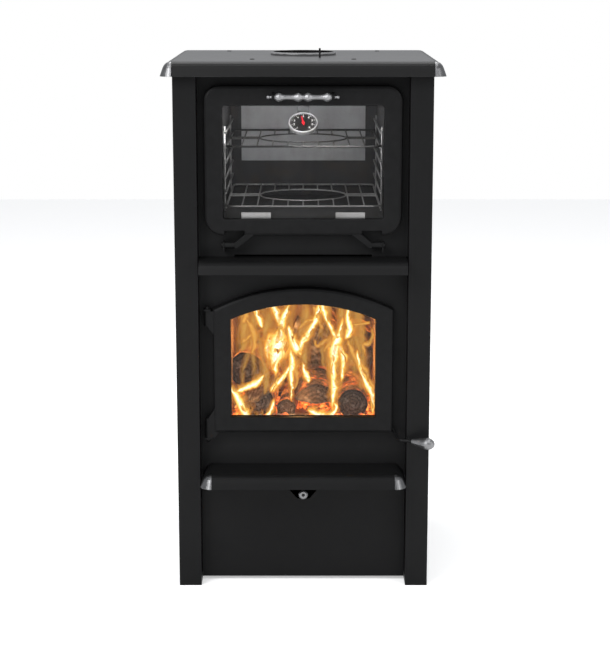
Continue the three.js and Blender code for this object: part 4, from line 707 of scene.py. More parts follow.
class COOKSTOVE_OT_painted_shell(CookstoveOperator):
    """Paint the posts, side and rear panels, ledges and ash drawer"""

    bl_idname = "cookstove.painted_shell"
    bl_label = "Painted shell"

    def execute(self, context):
        satin = stove_paint("satin_black", tint("satin_black"), 0.42, 900.0)
        clad(satin, *pair("*_front_post"), *pair("*_rear_post"), *pair("*_side_panel"))
        clad(satin, "back_panel", "middle_ledge", "hearth_ledge", "ash_drawer_front")
        matte = stove_paint("matte_black", tint("matte_black"), 0.55, 1100.0)
        clad(matte, "oven_front_panel", "firebox_front_panel", "base_plate", "ash_pan", "air_box")
        return {"FINISHED"}


class COOKSTOVE_OT_panel_screws(CookstoveOperator):
    """Screw the rear panel and the side panels to the posts"""

    bl_idname = "cookstove.panel_screws"
    bl_label = "Panel screws"

    def execute(self, context):
        diameter = context.scene.cookstove_fittings.screw_diameter
        steel = plated("blackened_screw", (0.06, 0.06, 0.062), 0.34, 0.1)
        low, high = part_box("back_panel")
        foot, head = low.z + SCREW_INSET, high.z - SCREW_INSET
        edge = high.x - SCREW_INSET
        rear = [(x, z) for x in (-edge, edge) for z in evenly(foot, head, REAR_SCREW_ROWS)]
        rear += [(x, z) for x in REAR_SCREWS_ACROSS for z in (foot, head)]
        places = [((x, high.y, z), (0, 1, 0)) for x, z in rear]
        cross_screws("rear_panel_screws", places, diameter, steel, "stove")

        low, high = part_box("right_side_panel")
        foot, head = low.z + SIDE_SCREWS_FROM_FOOT, high.z - SIDE_SCREWS_FROM_TOP
        places = [
            ((side * HALF_WIDTH, y, z), (side, 0, 0))
            for side in (-1, 1)
            for y in (low.y + SCREW_INSET, high.y - SCREW_INSET)
            for z in evenly(foot, head, SIDE_SCREW_ROWS)
        ]
        cross_screws("side_panel_screws", places, diameter, steel, "stove")
        return {"FINISHED"}


# ------------------------------------------------------------------ cooktop and trim

COOKTOP_BOLTS = ((-193, 508), (-121, 90), (120, 90), (192, 508))  # across and depth, millimetres
KNOB_SCREW_DIAMETER = 8 * MM


class COOKSTOVE_OT_cooktop(CookstoveOperator):
    """Finish the cooktop, its bolts, the flue collar and the bypass damper"""

    bl_idname = "cookstove.cooktop"
    bl_label = "Cooktop"

    def execute(self, context):
        clad(seasoned_steel("seasoned_steel", tint("cooktop"), painted_folds), "cooktop")
        clad(seasoned_steel("collar_steel", tint("cooktop"), sooty_collar), "flue_collar")
        iron = casting("damper_iron", tint("cast_black", 1.2))
        clad(iron, "bypass_damper")
        diameter = context.scene.cookstove_fittings.bolt_diameter
        top = Vector((0, 0, COOKTOP_Z))
        places = [(spot(x, depth, 0) + top, (0, 0, 1)) for x, depth in COOKTOP_BOLTS]
        domed_heads("cooktop_bolts", places, diameter, 0.2, iron, "stove")
        return {"FINISHED"}


class COOKSTOVE_OT_nickel_trim(CookstoveOperator):
    """Plate the corner caps, the two grips and the air knob with nickel"""

    bl_idname = "cookstove.nickel_trim"
    bl_label = "Nickel trim"

    def execute(self, context):
        caps = plated("polished_nickel", tint("nickel", 0.42), 0.3, 0.15)
        clad(caps, *pair("cooktop_cap_*"), *pair("hearth_cap_*"))
        turned = plated("turned_nickel", tint("nickel", 0.62), 0.38, 0.9)
        clad(turned, "oven_door_grip", "latch_grip", "air_knob")
        low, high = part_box("air_knob")
        front = Vector(((low.x + high.x) / 2, low.y, (low.z + high.z) / 2))
        steel = plated("knob_screw_steel", (0.03, 0.03, 0.03), 0.4, 0.1)
        places = [(front, (0, -1, 0))]
        domed_heads("knob_screw", places, KNOB_SCREW_DIAMETER, 0.1, steel, "air_control")
        return {"FINISHED"}


# ------------------------------------------------------------------ doors

CLIP_SCREW_DIAMETER = 7 * MM
CLIP_SCREW_SHARES = (0.2, 0.8)  # of the clip's length


class COOKSTOVE_OT_castings(CookstoveOperator):
    """Finish the doors' castings, hinges, latch, air slider and gaskets"""

    bl_idname = "cookstove.castings"
    bl_label = "Castings"

    def execute(self, context):
        iron = casting("door_iron", tint("cast_black"))
        clad(iron, "oven_door_frame", "fire_door_frame", "latch_lever", "latch_keeper")
        clad(iron, *pair("oven_hinge_bracket_*"), *pair("oven_handle_post_*"), "air_slider")
        clad(iron, "fire_hinge_bracket_upper", "fire_hinge_bracket_lower")
        rope = braided_rope("fibre_rope", tint("rope"))
        clad(rope, "oven_door_gasket", "fire_door_gasket")
        return {"FINISHED"}


class COOKSTOVE_OT_door_glass(CookstoveOperator):
    """Glaze the two doors and fix the oven's glass with its clips"""

    bl_idname = "cookstove.door_glass"
    bl_label = "Door glass"

    def execute(self, context):
        clad(stove_glass("oven_glass", 0.16), "oven_door_glass")
        clad(stove_glass("fire_glass", 0.08), "fire_door_glass")
        bright = brushed("clip_steel", (0.74, 0.75, 0.77), 0.34)
        places = []
        for clip in pair("oven_glass_clip_*"):
            clad(bright, clip)
            low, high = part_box(clip)
            for share in CLIP_SCREW_SHARES:
                x = low.x + (high.x - low.x) * share
                places.append(((x, high.y, (low.z + high.z) / 2), (0, 1, 0)))
        head = CLIP_SCREW_DIAMETER
        cross_screws("glass_clip_screws", places, head, bright, "oven_door")
        return {"FINISHED"}


# ------------------------------------------------------------------ oven

# The dial is measured from the needle's joint: radii, and the face's depth behind it.
DIAL_RADIUS = 33.4 * MM
MARKS_RADIUS = 32.2 * MM
NUMBERS_RADIUS = 23.5 * MM
FACE_FROM = -6 * MM
RIM_SHADOW_FROM = -4 * MM
NUMBER_SIZE = 9 * MM
INK = 0.12 * MM
DIAL_FACE = INK - 3.2 * MM
DIAL_REACH = math.radians(140)  # to either side of the top
DIAL_NUMBERS = 9
MARKS_PER_NUMBER = 4
DIAL_MARKS = (DIAL_NUMBERS - 1) * MARKS_PER_NUMBER + 1
BOX_FACES = ((3, 2, 1, 0), (4, 5, 6, 7), (0, 1, 5, 4), (1, 2, 6, 5), (2, 3, 7, 6), (3, 0, 4, 7))


class COOKSTOVE_OT_oven(CookstoveOperator):
    """Finish the oven's lining, shield, ladders and racks"""

    bl_idname = "cookstove.oven"
    bl_label = "Oven"

    def execute(self, context):
        lining = brushed("oven_lining", tint("lining"), 0.42, (28.0, 1.0, 28.0), 0.3)
        clad(lining, "oven_box")
        clad(brushed("smoke_steel", (0.06, 0.06, 0.06), 0.5, heat=0.8), "smoke_baffle")
        shield = brushed("bright_shield", tint("stainless"), 0.42, (1.0, 30.0, 30.0), 0.12)
        clad(shield, "oven_back_shield")
        wire = brushed("rack_wire", tint("wire"), 0.4, EVEN)
        clad(wire, *pair("rack_ladder_*"), "lower_rack")
        # Painted shade: the upper rack's wire is a darker copy of the rack wire, standing for the
        # shade it sits in, with a little heat tint.
        clad(brushed("blued_wire", tint("wire", 0.2), 0.4, EVEN, 0.3), "upper_rack")
        return {"FINISHED"}


class Dial:
    """The thermometer's dial. Its angles are counted clockwise from the top."""

    def __init__(self):
        needle = next(joint for joint in frame["joints"] if joint["child"] == "needle")
        self.centre = Vector(needle["pos_m"])
        self.out = Vector(needle["axis"]).normalized()
        self.across = Vector((1, 0, 0))
        self.up = self.out.cross(self.across).normalized()

    def way(self, angle):
        return self.across * math.sin(angle) + self.up * math.cos(angle)

    def point(self, radius, angle, lift):
        return self.centre + self.way(angle) * radius + self.out * lift

    def case_finish(self):
        """A dulled steel rim round a black face."""
        g = Graph("thermometer_case")
        away = g.vector("SUBTRACT", g.place(), tuple(self.centre))
        lift = g.vector("DOT_PRODUCT", away, tuple(self.out))
        reach = g.vector("LENGTH", away)
        radius = g.math("SQRT", g.minus(g.math("POWER", reach, 2.0), g.math("POWER", lift, 2.0)))
        front = g.math("GREATER_THAN", lift, FACE_FROM)
        face = g.times(g.math("LESS_THAN", radius, DIAL_RADIUS), front)
        speck = g.noise(500.0)
        black = g.ramp(speck, (0.3, 0.004), (0.7, 0.01))
        steel = g.ramp(g.noise(160.0), (0.3, (0.32, 0.32, 0.33)), (0.7, (0.42, 0.42, 0.43)))
        steel = g.blend(g.spread(lift, 0.75, 0.0, RIM_SHADOW_FROM, 0.0), steel, (0.03, 0.03, 0.03))
        gloss = g.spread(face, 0.3, 0.5, 0.0, 1.0)
        normal = g.bump(speck, 0.02 * MM, 0.3)
        metallic = g.spread(face, 0.55, 0.0, 0.0, 1.0)
        return g.principled(g.blend(face, steel, black), gloss, normal, Metallic=metallic)

    def marks(self, length, ink):
        """A ring of printed marks, with a longer one at each number."""
        bm = bmesh.new()
        for i, angle in enumerate(evenly(-DIAL_REACH, DIAL_REACH, DIAL_MARKS)):
            long = i % MARKS_PER_NUMBER == 0
            start = MARKS_RADIUS - (length if long else length * 0.45)
            half = self.way(angle + math.pi / 2) * (0.55 if long else 0.3) * MM
            flat = ((start, -1), (start, 1), (MARKS_RADIUS, 1), (MARKS_RADIUS, -1))
            corners = [
                bm.verts.new(self.point(radius, angle, lift) + half * side)
                for lift in (DIAL_FACE, DIAL_FACE + INK)
                for radius, side in flat
            ]
            for face in BOX_FACES:
                bm.faces.new([corners[k] for k in face])
        add_piece("dial_marks", closed(bm, "dial_marks"), [ink], "stove", None)

    def numbers(self, ink):
        """Plain numbers inside the ring of marks."""
        turn = Matrix((self.across, self.up, self.out)).transposed().to_4x4()
        for i, angle in enumerate(evenly(-DIAL_REACH, DIAL_REACH, DIAL_NUMBERS), 1):
            name = "dial_number_%d" % i
            words = bpy.data.curves.new(name, "FONT")
            words.body = str(i)
            words.size = NUMBER_SIZE
            words.align_x = "CENTER"
            words.align_y = "CENTER"
            words.extrude = INK / 2
            words.offset = INK
            words.materials.append(ink)
            number = put(name, words)
            place = self.point(NUMBERS_RADIUS, angle, DIAL_FACE + 0.07 * MM)
            number.matrix_world = Matrix.Translation(place) @ turn
            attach(number, "stove")


class COOKSTOVE_OT_thermometer(CookstoveOperator):
    """Finish the oven thermometer: rim, strap, needle and dial"""

    bl_idname = "cookstove.thermometer"
    bl_label = "Thermometer"

    def execute(self, context):
        dial = Dial()
        clad(dial.case_finish(), "thermometer_case")
        clad(brushed("strap_steel", tint("stainless", 0.35), 0.4), "thermometer_strap")
        g = Graph("needle_red")
        red = g.mottled(g.noise(300.0), tint("needle"), 0.85, 1.1)
        clad(g.principled(red, 0.35), "thermometer_needle")
        g = Graph("dial_white")
        ink = g.principled(g.ramp(g.noise(400.0), (0.3, 0.42), (0.7, 0.52)), 0.6)
        dial.marks(context.scene.cookstove_fittings.dial_mark, ink)
        dial.numbers(ink)
        return {"FINISHED"}


# ------------------------------------------------------------------ firebox and logs

EMBER_COUNT = 260
EMBER_HALF_SPREAD = 168
EMBER_DEPTHS = (62, 300)
AIR_HOLE_HALF_WIDTH = 42
AIR_HOLE_DEPTHS = (100, 164)
EMBER_SEED = 11
EMBER_LUMPINESS = 0.35
EMBER_FLATNESS = 0.7
LOG_RINGS = 18
LOG_WOBBLE = 0.06
LOG_WOBBLE_SCALE = 1.7
LOG_END_HOLLOW = 0.04
BARK, END_GRAIN, SPLIT_FACE = range(3)  # the logs' material slots


class COOKSTOVE_OT_firebox(CookstoveOperator):
    """Finish the firebox: shell, bricks, baffle and grate"""

    bl_idname = "cookstove.firebox"
    bl_label = "Firebox"

    def execute(self, context):
        brick = fired_brick("firebrick", tint("brick"))
        clad(brick, "firebrick_floor", "firebrick_back", *pair("firebrick_*"), "flame_baffle")
        clad(brushed("sooty_shell", (0.03, 0.028, 0.026), 0.7, heat=0.5), "firebox_shell")
        clad(casting("grate_iron", (0.03, 0.026, 0.024)), "grate")
        return {"FINISHED"}


def log_mesh(name, start, end, outline, seed):
    """
    A log between two points. Its outline is a list of (angle in degrees, radius, is bark) round
    the axis.
    """
    axis = (end - start).normalized()
    side = axis.cross(Vector((0, 0, 1))).normalized()
    rise = side.cross(axis).normalized()
    largest = max(radius for _, radius, _ in outline)
    length = (end - start).length / largest
    count = len(outline)
    own = Vector((seed * 7.3, seed * 3.1, 0))
    vertices, grain = [], []
    for t in evenly(0, 1, LOG_RINGS):
        for angle, radius, bark in outline:
            x, y = math.cos(math.radians(angle)), math.sin(math.radians(angle))
            sample = Vector((x * LOG_WOBBLE_SCALE, y * LOG_WOBBLE_SCALE, t * length)) + own
            rough = noise.noise(sample * 1.1) + 0.5 * noise.noise(sample * 3.1)
            swell = 1 + (LOG_WOBBLE if bark else LOG_WOBBLE / 2) * rough
            vertices.append(start.lerp(end, t) + (side * x + rise * y) * radius * swell)
            grain.append((x * radius / largest, y * radius / largest, t * length))
    faces = tube_faces(LOG_RINGS, count)
    sides = [BARK if a[2] and b[2] else SPLIT_FACE for a, b in neighbours(outline)]
    slots = sides * (LOG_RINGS - 1) + [END_GRAIN] * 2 * count
    for t, hollow in ((0, 1), (1, -1)):
        centre, base = len(vertices), t * (LOG_RINGS - 1) * count
        vertices.append(start.lerp(end, t) + axis * largest * LOG_END_HOLLOW * hollow)
        grain.append((0.0, 0.0, t * length))
        rim = neighbours(range(base, base + count))
        faces += [(centre, *edge[::-hollow]) for edge in rim]
    mesh = mesh_from(name, vertices, faces)
    carry_vectors(mesh, "grain", grain)
    mesh.polygons.foreach_set("material_index", slots)
    return mesh


def round_outline(radius, count=30):
    return [(360 * i / count, radius, True) for i in range(count)]


def wedge_outline(radius, first, last, count=16):
    """A split quarter or third: bark from the first angle to the last, and two split faces."""
    bark = [(angle, radius, True) for angle in evenly(first, last, count)]
    return bark + [
        (last, radius * 0.66, False),
        (last, radius * 0.33, False),
        ((first + last) / 2, radius * 0.04, False),
        (first, radius * 0.33, False),
        (first, radius * 0.66, False),
    ]


# The logs: name, the two ends in millimetres (across, depth and up), and outline.
LOGS = (
    ("log_left_split", (-113, 94, 442), (-96, 300, 448), wedge_outline(0.041, 180, 400)),
    ("log_small_round", (-42, 96, 426), (-22, 330, 432), round_outline(0.0235)),
    ("log_middle_split", (32, 104, 434), (18, 330, 466), wedge_outline(0.054, 12, 165)),
    ("log_right_round", (122, 96, 438), (124, 380, 448), round_outline(0.037)),
    ("log_left_big", (-142, 152, 511), (-96, 400, 520), round_outline(0.045)),
    ("log_centre_hollow", (42, 190, 476), (60, 400, 480), round_outline(0.030)),
    ("log_centre_big", (26, 226, 560), (40, 430, 560), wedge_outline(0.064, 150, 420)),
    ("log_back_cross", (-120, 372, 500), (30, 392, 470), round_outline(0.046)),
    ("log_right_upper", (132, 236, 530), (140, 420, 540), wedge_outline(0.048, -60, 190)),
)


def random_shift(rng, reach):
    return Vector([rng.uniform(0, reach) for _ in range(3)])


class COOKSTOVE_OT_logs(CookstoveOperator):
    """Stack the burning logs on their embers"""

    bl_idname = "cookstove.logs"
    bl_label = "Logs and embers"

    def execute(self, context):
        wood = [bark_finish(), end_grain_finish(), split_face_finish()]
        for seed, (name, start, end, outline) in enumerate(LOGS, 1):
            mesh = log_mesh(name, spot(*start), spot(*end), outline, seed)
            add_piece(name, mesh, wood, "stove", 40)
        self.embers(context.scene.cookstove_fire.ember_size)
        return {"FINISHED"}

    def embers(self, largest):
        """Lumps of glowing char and ash between the logs."""
        rng = random.Random(EMBER_SEED)
        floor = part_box("firebrick_floor")[1].z
        bm = bmesh.new()
        for _ in range(EMBER_COUNT):
            radius = rng.uniform(0.45, 1.0) * largest
            x = rng.uniform(-EMBER_HALF_SPREAD, EMBER_HALF_SPREAD)
            depth = rng.uniform(*EMBER_DEPTHS)
            if abs(x) < AIR_HOLE_HALF_WIDTH and AIR_HOLE_DEPTHS[0] < depth < AIR_HOLE_DEPTHS[1]:
                continue
            centre = spot(x, depth, 0)
            centre.z = floor + radius * 0.5 + rng.uniform(0, 6) * MM
            shift = random_shift(rng, 50)
            lumps = bmesh.ops.create_icosphere(bm, subdivisions=2, radius=radius)["verts"]
            for vertex in lumps:
                lump = noise.noise(vertex.co / largest * 1.3 + shift)
                vertex.co *= 1 + EMBER_LUMPINESS * lump
                vertex.co.z *= EMBER_FLATNESS
                vertex.co += centre
        mesh = closed(bm, "ember_bed")
        add_piece("ember_bed", mesh, [ember_finish()], "stove", 60)


# ------------------------------------------------------------------ flames

# Colours from a flame's rim to its core.
WHITE_HOT = (
    (0.0, (0.60, 0.16, 0.012)),
    (0.2, (0.95, 0.36, 0.03)),
    (0.38, (1.0, 0.66, 0.12)),
    (0.56, (1.0, 0.87, 0.42)),
    (0.74, (1.0, 0.98, 0.9)),
)
ORANGE = (
    (0.0, (0.40, 0.09, 0.008)),
    (0.3, (0.8, 0.29, 0.028)),
    (0.6, (1.0, 0.49, 0.075)),
    (0.9, (1.0, 0.67, 0.18)),
)

# Broad tongues burn at these depths, in millimetres.
MIDDLE_DEPTHS = (128, 150, 176)
REAR_DEPTHS = (215, 265, 330)
FLAME_CEILING = 726  # under the flame baffle
TONGUE_CEILING = 722
TONGUE_HALF_SPREAD = 164
TONGUE_FEET_ASIDE = 158
TONGUE_FEET, TONGUE_WIDTHS, TONGUE_SWAYS, TONGUE_LEANS = (410, 520), (34, 84), (5, 16), (-30, 30)
TONGUE_ROWS = 26
ROWS_PER_KNOT = 9
FLAME_COLUMNS = 9  # across each face of a flame
FLAME_THICKNESS = 0.35  # of its width
FLAME_END_FADE = 7  # the share of its length that fades out at each end is one in this many
WEAVE_ACROSS, WEAVE_ALONG, WEAVE_BETWEEN_FACES = 16 * MM, 50 * MM, 0.4
FLAME_SEED = 29
# A lick's ragged edge: the size of its broad and its fine waves, how far they push it aside
# and back, and its narrowest and widest half, in millimetres.
RAGGED_BROAD, RAGGED_FINE = 14, 5
RAGGED_ASIDE, RAGGED_BACK = 2.6, 5
LICK_HALVES = (1.2, 40)

# The tallest licks: depth, and knots of (across, up, half of the width), in millimetres.
LICKS = (
    (76, ((-66, 508, 2), (-70, 545, 9), (-62, 590, 23), (-57, 622, 10), (-46, 665, 6),
          (-30, 700, 4))),
    (84, ((-84, 548, 3), (-87, 580, 7), (-76, 606, 9), (-60, 596, 4))),
    (79, ((-4, 556, 2), (-20, 586, 8), (-31, 618, 6), (-37, 640, 2))),
    (88, ((-8, 562, 3), (-4, 592, 6), (14, 620, 6), (33, 658, 6), (40, 700, 4))),
    (82, ((-30, 444, 2), (-28, 480, 3), (-30, 515, 5), (-26, 545, 7), (-32, 588, 3))),
    (78, ((70, 418, 3), (75, 480, 6), (74, 545, 7), (78, 590, 12), (90, 622, 5), (97, 662, 3))),
    (86, ((80, 594, 4), (97, 566, 7), (98, 538, 5), (93, 494, 2))),
    (74, ((-181, 492, 3), (-164, 462, 6), (-146, 424, 8), (-134, 408, 6))),
    (80, ((-166, 472, 3), (-140, 483, 6), (-112, 497, 6), (-96, 516, 2))),
    (77, ((-134, 406, 4), (-100, 408, 5), (-80, 424, 4), (-73, 456, 2))),
    (84, ((-84, 468, 3), (-62, 495, 6), (-42, 518, 4), (-32, 540, 2))),
    (76, ((8, 432, 2), (28, 420, 6), (60, 410, 6), (82, 430, 4), (74, 448, 2))),
    (90, ((84, 596, 3), (66, 634, 4), (52, 668, 5), (44, 700, 3))),
    (82, ((16, 492, 3), (8, 512, 6), (1, 530, 3), (-2, 548, 1))),
    (80, ((172, 412, 4), (170, 458, 4), (152, 500, 5), (136, 548, 3), (132, 580, 2))),
    (92, ((-55, 634, 4), (-66, 668, 7), (-78, 700, 5))),
    (90, ((102, 600, 3), (114, 626, 8), (108, 654, 4), (112, 690, 3))),
    (94, ((-100, 628, 3), (-110, 656, 5), (-122, 690, 3))),
)

# Thin wisps that curl between the licks, given in the same way.
WISPS = (
    (90, ((-168, 604, 2), (-150, 598, 4), (-132, 609, 4), (-112, 626, 2))),
    (92, ((118, 637, 2), (141, 640, 4), (166, 644, 3))),
    (88, ((166, 637, 3), (170, 615, 4), (160, 593, 5), (148, 587, 5), (155, 558, 3))),
    (84, ((50, 569, 2), (62, 590, 4), (80, 602, 3))),
    (94, ((27, 604, 3), (34, 584, 4), (52, 596, 5), (66, 604, 3))),
    (86, ((22, 690, 3), (31, 668, 5), (40, 647, 5), (47, 624, 2))),
    (92, ((-16, 624, 3), (3, 643, 6), (26, 651, 5), (34, 640, 2))),
    (82, ((104, 611, 3), (117, 578, 5), (129, 553, 5), (144, 521, 6), (164, 498, 4))),
    (78, ((138, 555, 3), (157, 515, 5), (173, 482, 4), (170, 440, 4))),
    (90, ((-128, 560, 2), (-118, 592, 6), (-126, 630, 6), (-142, 660, 3))),
    (93, ((-150, 640, 3), (-138, 665, 7), (-146, 695, 4))),
    (88, ((-22, 470, 2), (-14, 500, 5), (-20, 530, 6), (-8, 556, 3))),
)


def clamped(value, low, high):
    return min(max(value, low), high)


def smooth_path(knots, rows):
    """Points along a smooth line through the knots, each knot a list of numbers."""
    path = []
    last = len(knots) - 1
    for place in evenly(0, last, rows):
        k = min(int(place), last - 1)
        t = place - k
        four = (knots[clamped(k + step, 0, last)] for step in (-1, 0, 1, 2))
        path.append(
            [
                q + 0.5 * t * (r - p + t * (2 * p - 5 * q + 4 * r - s + t * (3 * (q - r) + s - p)))
                for p, q, r, s in zip(*four)
            ]
        )
    return path


def flame_body(centres, halves, shift):
    """
    One closed body of flame along a line of centres: a lens in section. It gives the vertices,
    the faces, how bright each vertex is, and where its pattern is taken from.
    """
    front = evenly(-1, 1, FLAME_COLUMNS)
    section = [(u, 1) for u in front] + [(u, -1) for u in front[-2:0:-1]]
    points, fade, weave = [], [], []
    rows = len(centres)
    length = 0.0
    for i, (centre, half) in enumerate(zip(centres, halves)):
        before = centres[max(i - 1, 0)]
        along = centres[min(i + 1, rows - 1)] - before
        across = along.cross(Vector((0, 1, 0))).normalized()
        length += (centre - before).length
        t = i / (rows - 1)
        ends = min(1.0, FLAME_END_FADE * t, FLAME_END_FADE * (1 - t))
        for u, side in section:
            thick = side * half * FLAME_THICKNESS * (1 - u * u)
            points.append(centre + across * (u * half) - Vector((0, thick, 0)))
            fade.append((1 - abs(u) ** 1.15) * ends)
            pattern = (u * half / WEAVE_ACROSS, length / WEAVE_ALONG, side * WEAVE_BETWEEN_FACES)
            weave.append(shift + Vector(pattern))
    around = len(section)
    faces = tube_faces(rows, around)
    faces.append(tuple(reversed(range(around))))
    faces.append(tuple(range((rows - 1) * around, rows * around)))
    return points, faces, fade, weave


class COOKSTOVE_OT_flames(CookstoveOperator):
    """Raise the flames over the logs"""

    bl_idname = "cookstove.flames"
    bl_label = "Flames"

    def execute(self, context):
        fire = context.scene.cookstove_fire
        hot = flame_finish("flame_core", fire.flame_strength * 1.2, 0.97, WHITE_HOT)
        warm = flame_finish("flame_wisp", fire.flame_strength * 0.75, 0.6, ORANGE)
        soft = flame_finish("flame_veil", fire.flame_strength * 0.6, 0.34, ORANGE)
        rng = random.Random(FLAME_SEED)
        self.piece("flames_front", self.licks(LICKS, rng), hot)
        self.piece("flames_wisps", self.licks(WISPS, rng), warm)
        self.piece("flames_glow", self.licks(LICKS, rng, wider=2.2, behind=14), warm)
        self.piece("flames_middle", self.tongues(fire, rng, MIDDLE_DEPTHS), soft)
        self.piece("flames_rear", self.tongues(fire, rng, REAR_DEPTHS), soft)
        return {"FINISHED"}

    def piece(self, name, flames, material):
        """Joins bodies of flame into one piece."""
        vertices, faces, fades, weaves = [], [], [], []
        for points, corners, fade, weave in flames:
            base = len(vertices)
            faces += [tuple(base + corner for corner in face) for face in corners]
            vertices += points
            fades += fade
            weaves += weave
        mesh = mesh_from(name, vertices, faces)
        attribute = mesh.attributes.new("fade", "FLOAT", "POINT")
        attribute.data.foreach_set("value", fades)
        carry_vectors(mesh, "weave", weaves)
        add_piece(name, mesh, [material], "stove", 80)

    def licks(self, lines, rng, wider=1.0, behind=0.0):
        """Ragged flames along the given knots."""
        flames = []
        for depth, knots in lines:
            shift = random_shift(rng, 90)
            centres, halves = [], []
            for x, z, half in smooth_path(knots, ROWS_PER_KNOT * len(knots)):
                z = min(z, FLAME_CEILING)
                ragged = noise.noise(Vector((x / RAGGED_BROAD, z / RAGGED_BROAD, shift.x)))
                fine = noise.noise(Vector((x / RAGGED_FINE, z / RAGGED_FINE, shift.y)))
                ragged += 0.6 * fine
                back = depth + behind + RAGGED_BACK * ragged
                centres.append(spot(x + RAGGED_ASIDE * ragged, back, z))
                halves.append(clamped(half * wider * (1.6 + 0.9 * ragged), *LICK_HALVES) * MM)
            flames.append(flame_body(centres, halves, shift))
        return flames

    def tongues(self, fire, rng, depths):
        """Broad, swaying tongues; half of them stand in each group of depths."""
        flames = []
        for _ in range(fire.flame_count // 2):
            depth = rng.choice(depths)
            x = rng.uniform(-TONGUE_FEET_ASIDE, TONGUE_FEET_ASIDE)
            foot = rng.uniform(*TONGUE_FEET)
            height = min(fire.flame_height / MM * rng.uniform(0.5, 1.0), TONGUE_CEILING - foot)
            width = rng.uniform(*TONGUE_WIDTHS)
            lean, sway = rng.uniform(*TONGUE_LEANS), rng.uniform(*TONGUE_SWAYS)
            phase = rng.uniform(0, math.tau)
            centres, halves = [], []
            for t in evenly(0, 1, TONGUE_ROWS):
                swing = sway * t * math.sin(phase + t * 5.2) + lean * t * t
                back = 0.5 * sway * t * math.sin(phase * 1.7 + t * 4.1)
                x_here = clamped(x + swing, -TONGUE_HALF_SPREAD, TONGUE_HALF_SPREAD)
                centres.append(spot(x_here, depth + back, foot + height * t))
                halves.append((0.5 * width * (0.3 + 1.6 * t) * (1 - t) ** 0.75 + 0.3) * MM)
            flames.append(flame_body(centres, halves, random_shift(rng, 90)))
        return flames


# ------------------------------------------------------------------ studio

FLOOR_LIFT = 0.42  # brings the floor up to the backdrop's white, only where it is seen
FLAME_LAYERS = 48  # surfaces that a ray may pass on its way through glass and flames

# The soft boxes: name, place, height that it aims at, power, and size, in metres and watts.
SOFT_BOXES = (
    ("key", (-2.2, -2.6, 3.0), 0.7, 75, (2.0, 2.0)),
    ("fill", (2.8, -2.2, 1.8), 0.6, 32, (2.0, 2.4)),
    ("brow", (0, -2.3, 3.3), 0.7, 16, (3.2, 0.5)),
    ("top", (0, 0.6, 3.4), 1.0, 60, (2.6, 1.6)),
)
FIRE_LIGHT_RADIUS = 40 * MM
# The fire's light: across, depth and up in millimetres, and power in watts.
FIRE_LIGHTS = (
    (-90, 140, 600, 1.0),
    (70, 120, 650, 1.0),
    (-10, 84, 470, 0.6),
    (100, 110, 540, 0.7),
    (0, 330, 640, 0.5),
)
# The oven's lamp, behind the top of its door: from and to in millimetres, power and size.
OVEN_LIGHT = ((-40, 66, 1120), (40, 500, 1080), 4.0, (0.34, 0.08))


def add_lamp(name, light, place, aim, power):
    """A lamp that the camera doesn't see."""
    light.energy = power
    lamp = put(name, light)
    lamp.location = place
    lamp.rotation_euler = (Vector(aim) - Vector(place)).to_track_quat("-Z", "Y").to_euler()
    lamp.visible_camera = False
    return lamp


def soft_box(name, place, aim, power, size):
    light = bpy.data.lights.new(name, "AREA")
    light.shape = "RECTANGLE"
    light.size, light.size_y = size
    return add_lamp(name, light, place, aim, power)


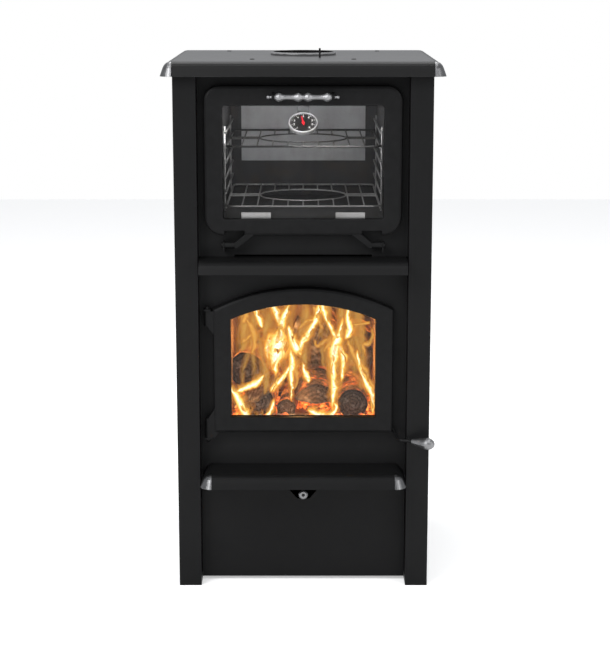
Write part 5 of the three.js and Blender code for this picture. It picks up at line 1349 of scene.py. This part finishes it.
class COOKSTOVE_OT_studio(CookstoveOperator):
    """Set the floor, the lights, the world and the camera"""

    bl_idname = "cookstove.studio"
    bl_label = "Studio"

    def execute(self, context):
        studio = context.scene.cookstove_studio
        self.floor(studio)
        self.world(context.scene)
        self.lamps(context.scene.cookstove_fire)
        self.camera(context.scene, studio)
        context.scene.view_settings.view_transform = "Standard"
        context.scene.cycles.transparent_max_bounces = FLAME_LAYERS
        return {"FINISHED"}

    def floor(self, studio):
        half = studio.floor_size / 2
        corners = [(-half, -half, 0), (half, -half, 0), (half, half, 0), (-half, half, 0)]
        mesh = mesh_from("floor", corners, [(0, 1, 2, 3)])
        g = Graph("pale_floor")
        path = g.add("LightPath").outputs
        seen = g.math("MAXIMUM", path["Is Camera Ray"], path["Is Glossy Ray"])
        seen = g.math("MAXIMUM", seen, path["Is Transmission Ray"])
        lift = g.out("Emission", {"Color": WHITE, "Strength": g.times(seen, FLOOR_LIFT)})
        matte = g.out("BsdfDiffuse", {"Color": tuple(studio.floor), "Roughness": 0.9})
        mesh.materials.append(g.finish(g.out("AddShader", {0: matte, 1: lift})))
        put("floor", mesh)

    def world(self, scene):
        """Soft grey-blue light, behind which the camera sees plain white."""
        g = Graph("studio", "worlds", "OutputWorld")
        path = g.add("LightPath").outputs
        seen = g.math("MAXIMUM", path["Is Camera Ray"], path["Is Transmission Ray"])
        soft = g.out("Background", {"Color": (0.95, 0.97, 1.0), "Strength": 0.5})
        white = g.out("Background", {"Color": WHITE, "Strength": 1.0})
        scene.world = g.finish(g.mix_shaders(seen, soft, white))

    def lamps(self, fire):
        for name, place, aim_z, power, size in SOFT_BOXES:
            soft_box(name, place, (0, 0, aim_z), power, size)
        for x, depth, z, power in FIRE_LIGHTS:
            name = "fire_light_%d" % x
            light = bpy.data.lights.new(name, "POINT")
            light.color = fire.glow
            light.shadow_soft_size = FIRE_LIGHT_RADIUS
            add_lamp(name, light, spot(x, depth, z), spot(x, depth, 0), power)
        start, aim, power, size = OVEN_LIGHT
        oven = soft_box("oven_light", spot(*start), spot(*aim), power, size)
        oven.visible_glossy = False

    def camera(self, scene, studio):
        lens = bpy.data.cameras.new("camera")
        lens.sensor_fit = "HORIZONTAL"
        lens.sensor_width = 36.0
        lens.lens = studio.focal_length
        lens.clip_end = 60.0
        camera = put("camera", lens)
        camera_y = POST_FACE_Y - studio.camera_distance
        camera.location = (studio.camera_aside, camera_y, studio.camera_height)
        camera.rotation_euler = (math.pi / 2 - studio.camera_tilt, 0.0, 0.0)
        scene.camera = camera


# ------------------------------------------------------------------ registration

SETTINGS = {
    "cookstove_finishes": CookstoveFinishes,
    "cookstove_fire": CookstoveFire,
    "cookstove_fittings": CookstoveFittings,
    "cookstove_studio": CookstoveStudio,
}
STEPS = (
    COOKSTOVE_OT_painted_shell,
    COOKSTOVE_OT_panel_screws,
    COOKSTOVE_OT_cooktop,
    COOKSTOVE_OT_nickel_trim,
    COOKSTOVE_OT_castings,
    COOKSTOVE_OT_door_glass,
    COOKSTOVE_OT_oven,
    COOKSTOVE_OT_thermometer,
    COOKSTOVE_OT_firebox,
    COOKSTOVE_OT_logs,
    COOKSTOVE_OT_flames,
    COOKSTOVE_OT_studio,
)


class COOKSTOVE_PT_panel(bpy.types.Panel):
    """Settings and steps of the cookstove"""

    bl_idname = "COOKSTOVE_PT_panel"
    bl_label = "Wood cookstove"
    bl_space_type = "VIEW_3D"
    bl_region_type = "UI"
    bl_category = "Cookstove"

    def draw(self, context):
        layout = self.layout
        for group in SETTINGS:
            settings = getattr(context.scene, group)
            box = layout.box()
            box.label(text=settings.bl_rna.description)
            for name in settings.bl_rna.properties.keys():
                if name not in ("rna_type", "name"):
                    box.prop(settings, name)
        for step in STEPS:
            layout.operator(step.bl_idname)


def register():
    for name, group in SETTINGS.items():
        bpy.utils.register_class(group)
        setattr(bpy.types.Scene, name, PointerProperty(type=group))
    for step in STEPS:
        bpy.utils.register_class(step)
    bpy.utils.register_class(COOKSTOVE_PT_panel)


def unregister():
    bpy.utils.unregister_class(COOKSTOVE_PT_panel)
    for step in reversed(STEPS):
        bpy.utils.unregister_class(step)
    for name, group in reversed(SETTINGS.items()):
        delattr(bpy.types.Scene, name)
        bpy.utils.unregister_class(group)


def main():
    register()
    for step in STEPS:
        group, name = step.bl_idname.split(".")
        getattr(getattr(bpy.ops, group), name)()


if __name__ == "__main__":
    main()
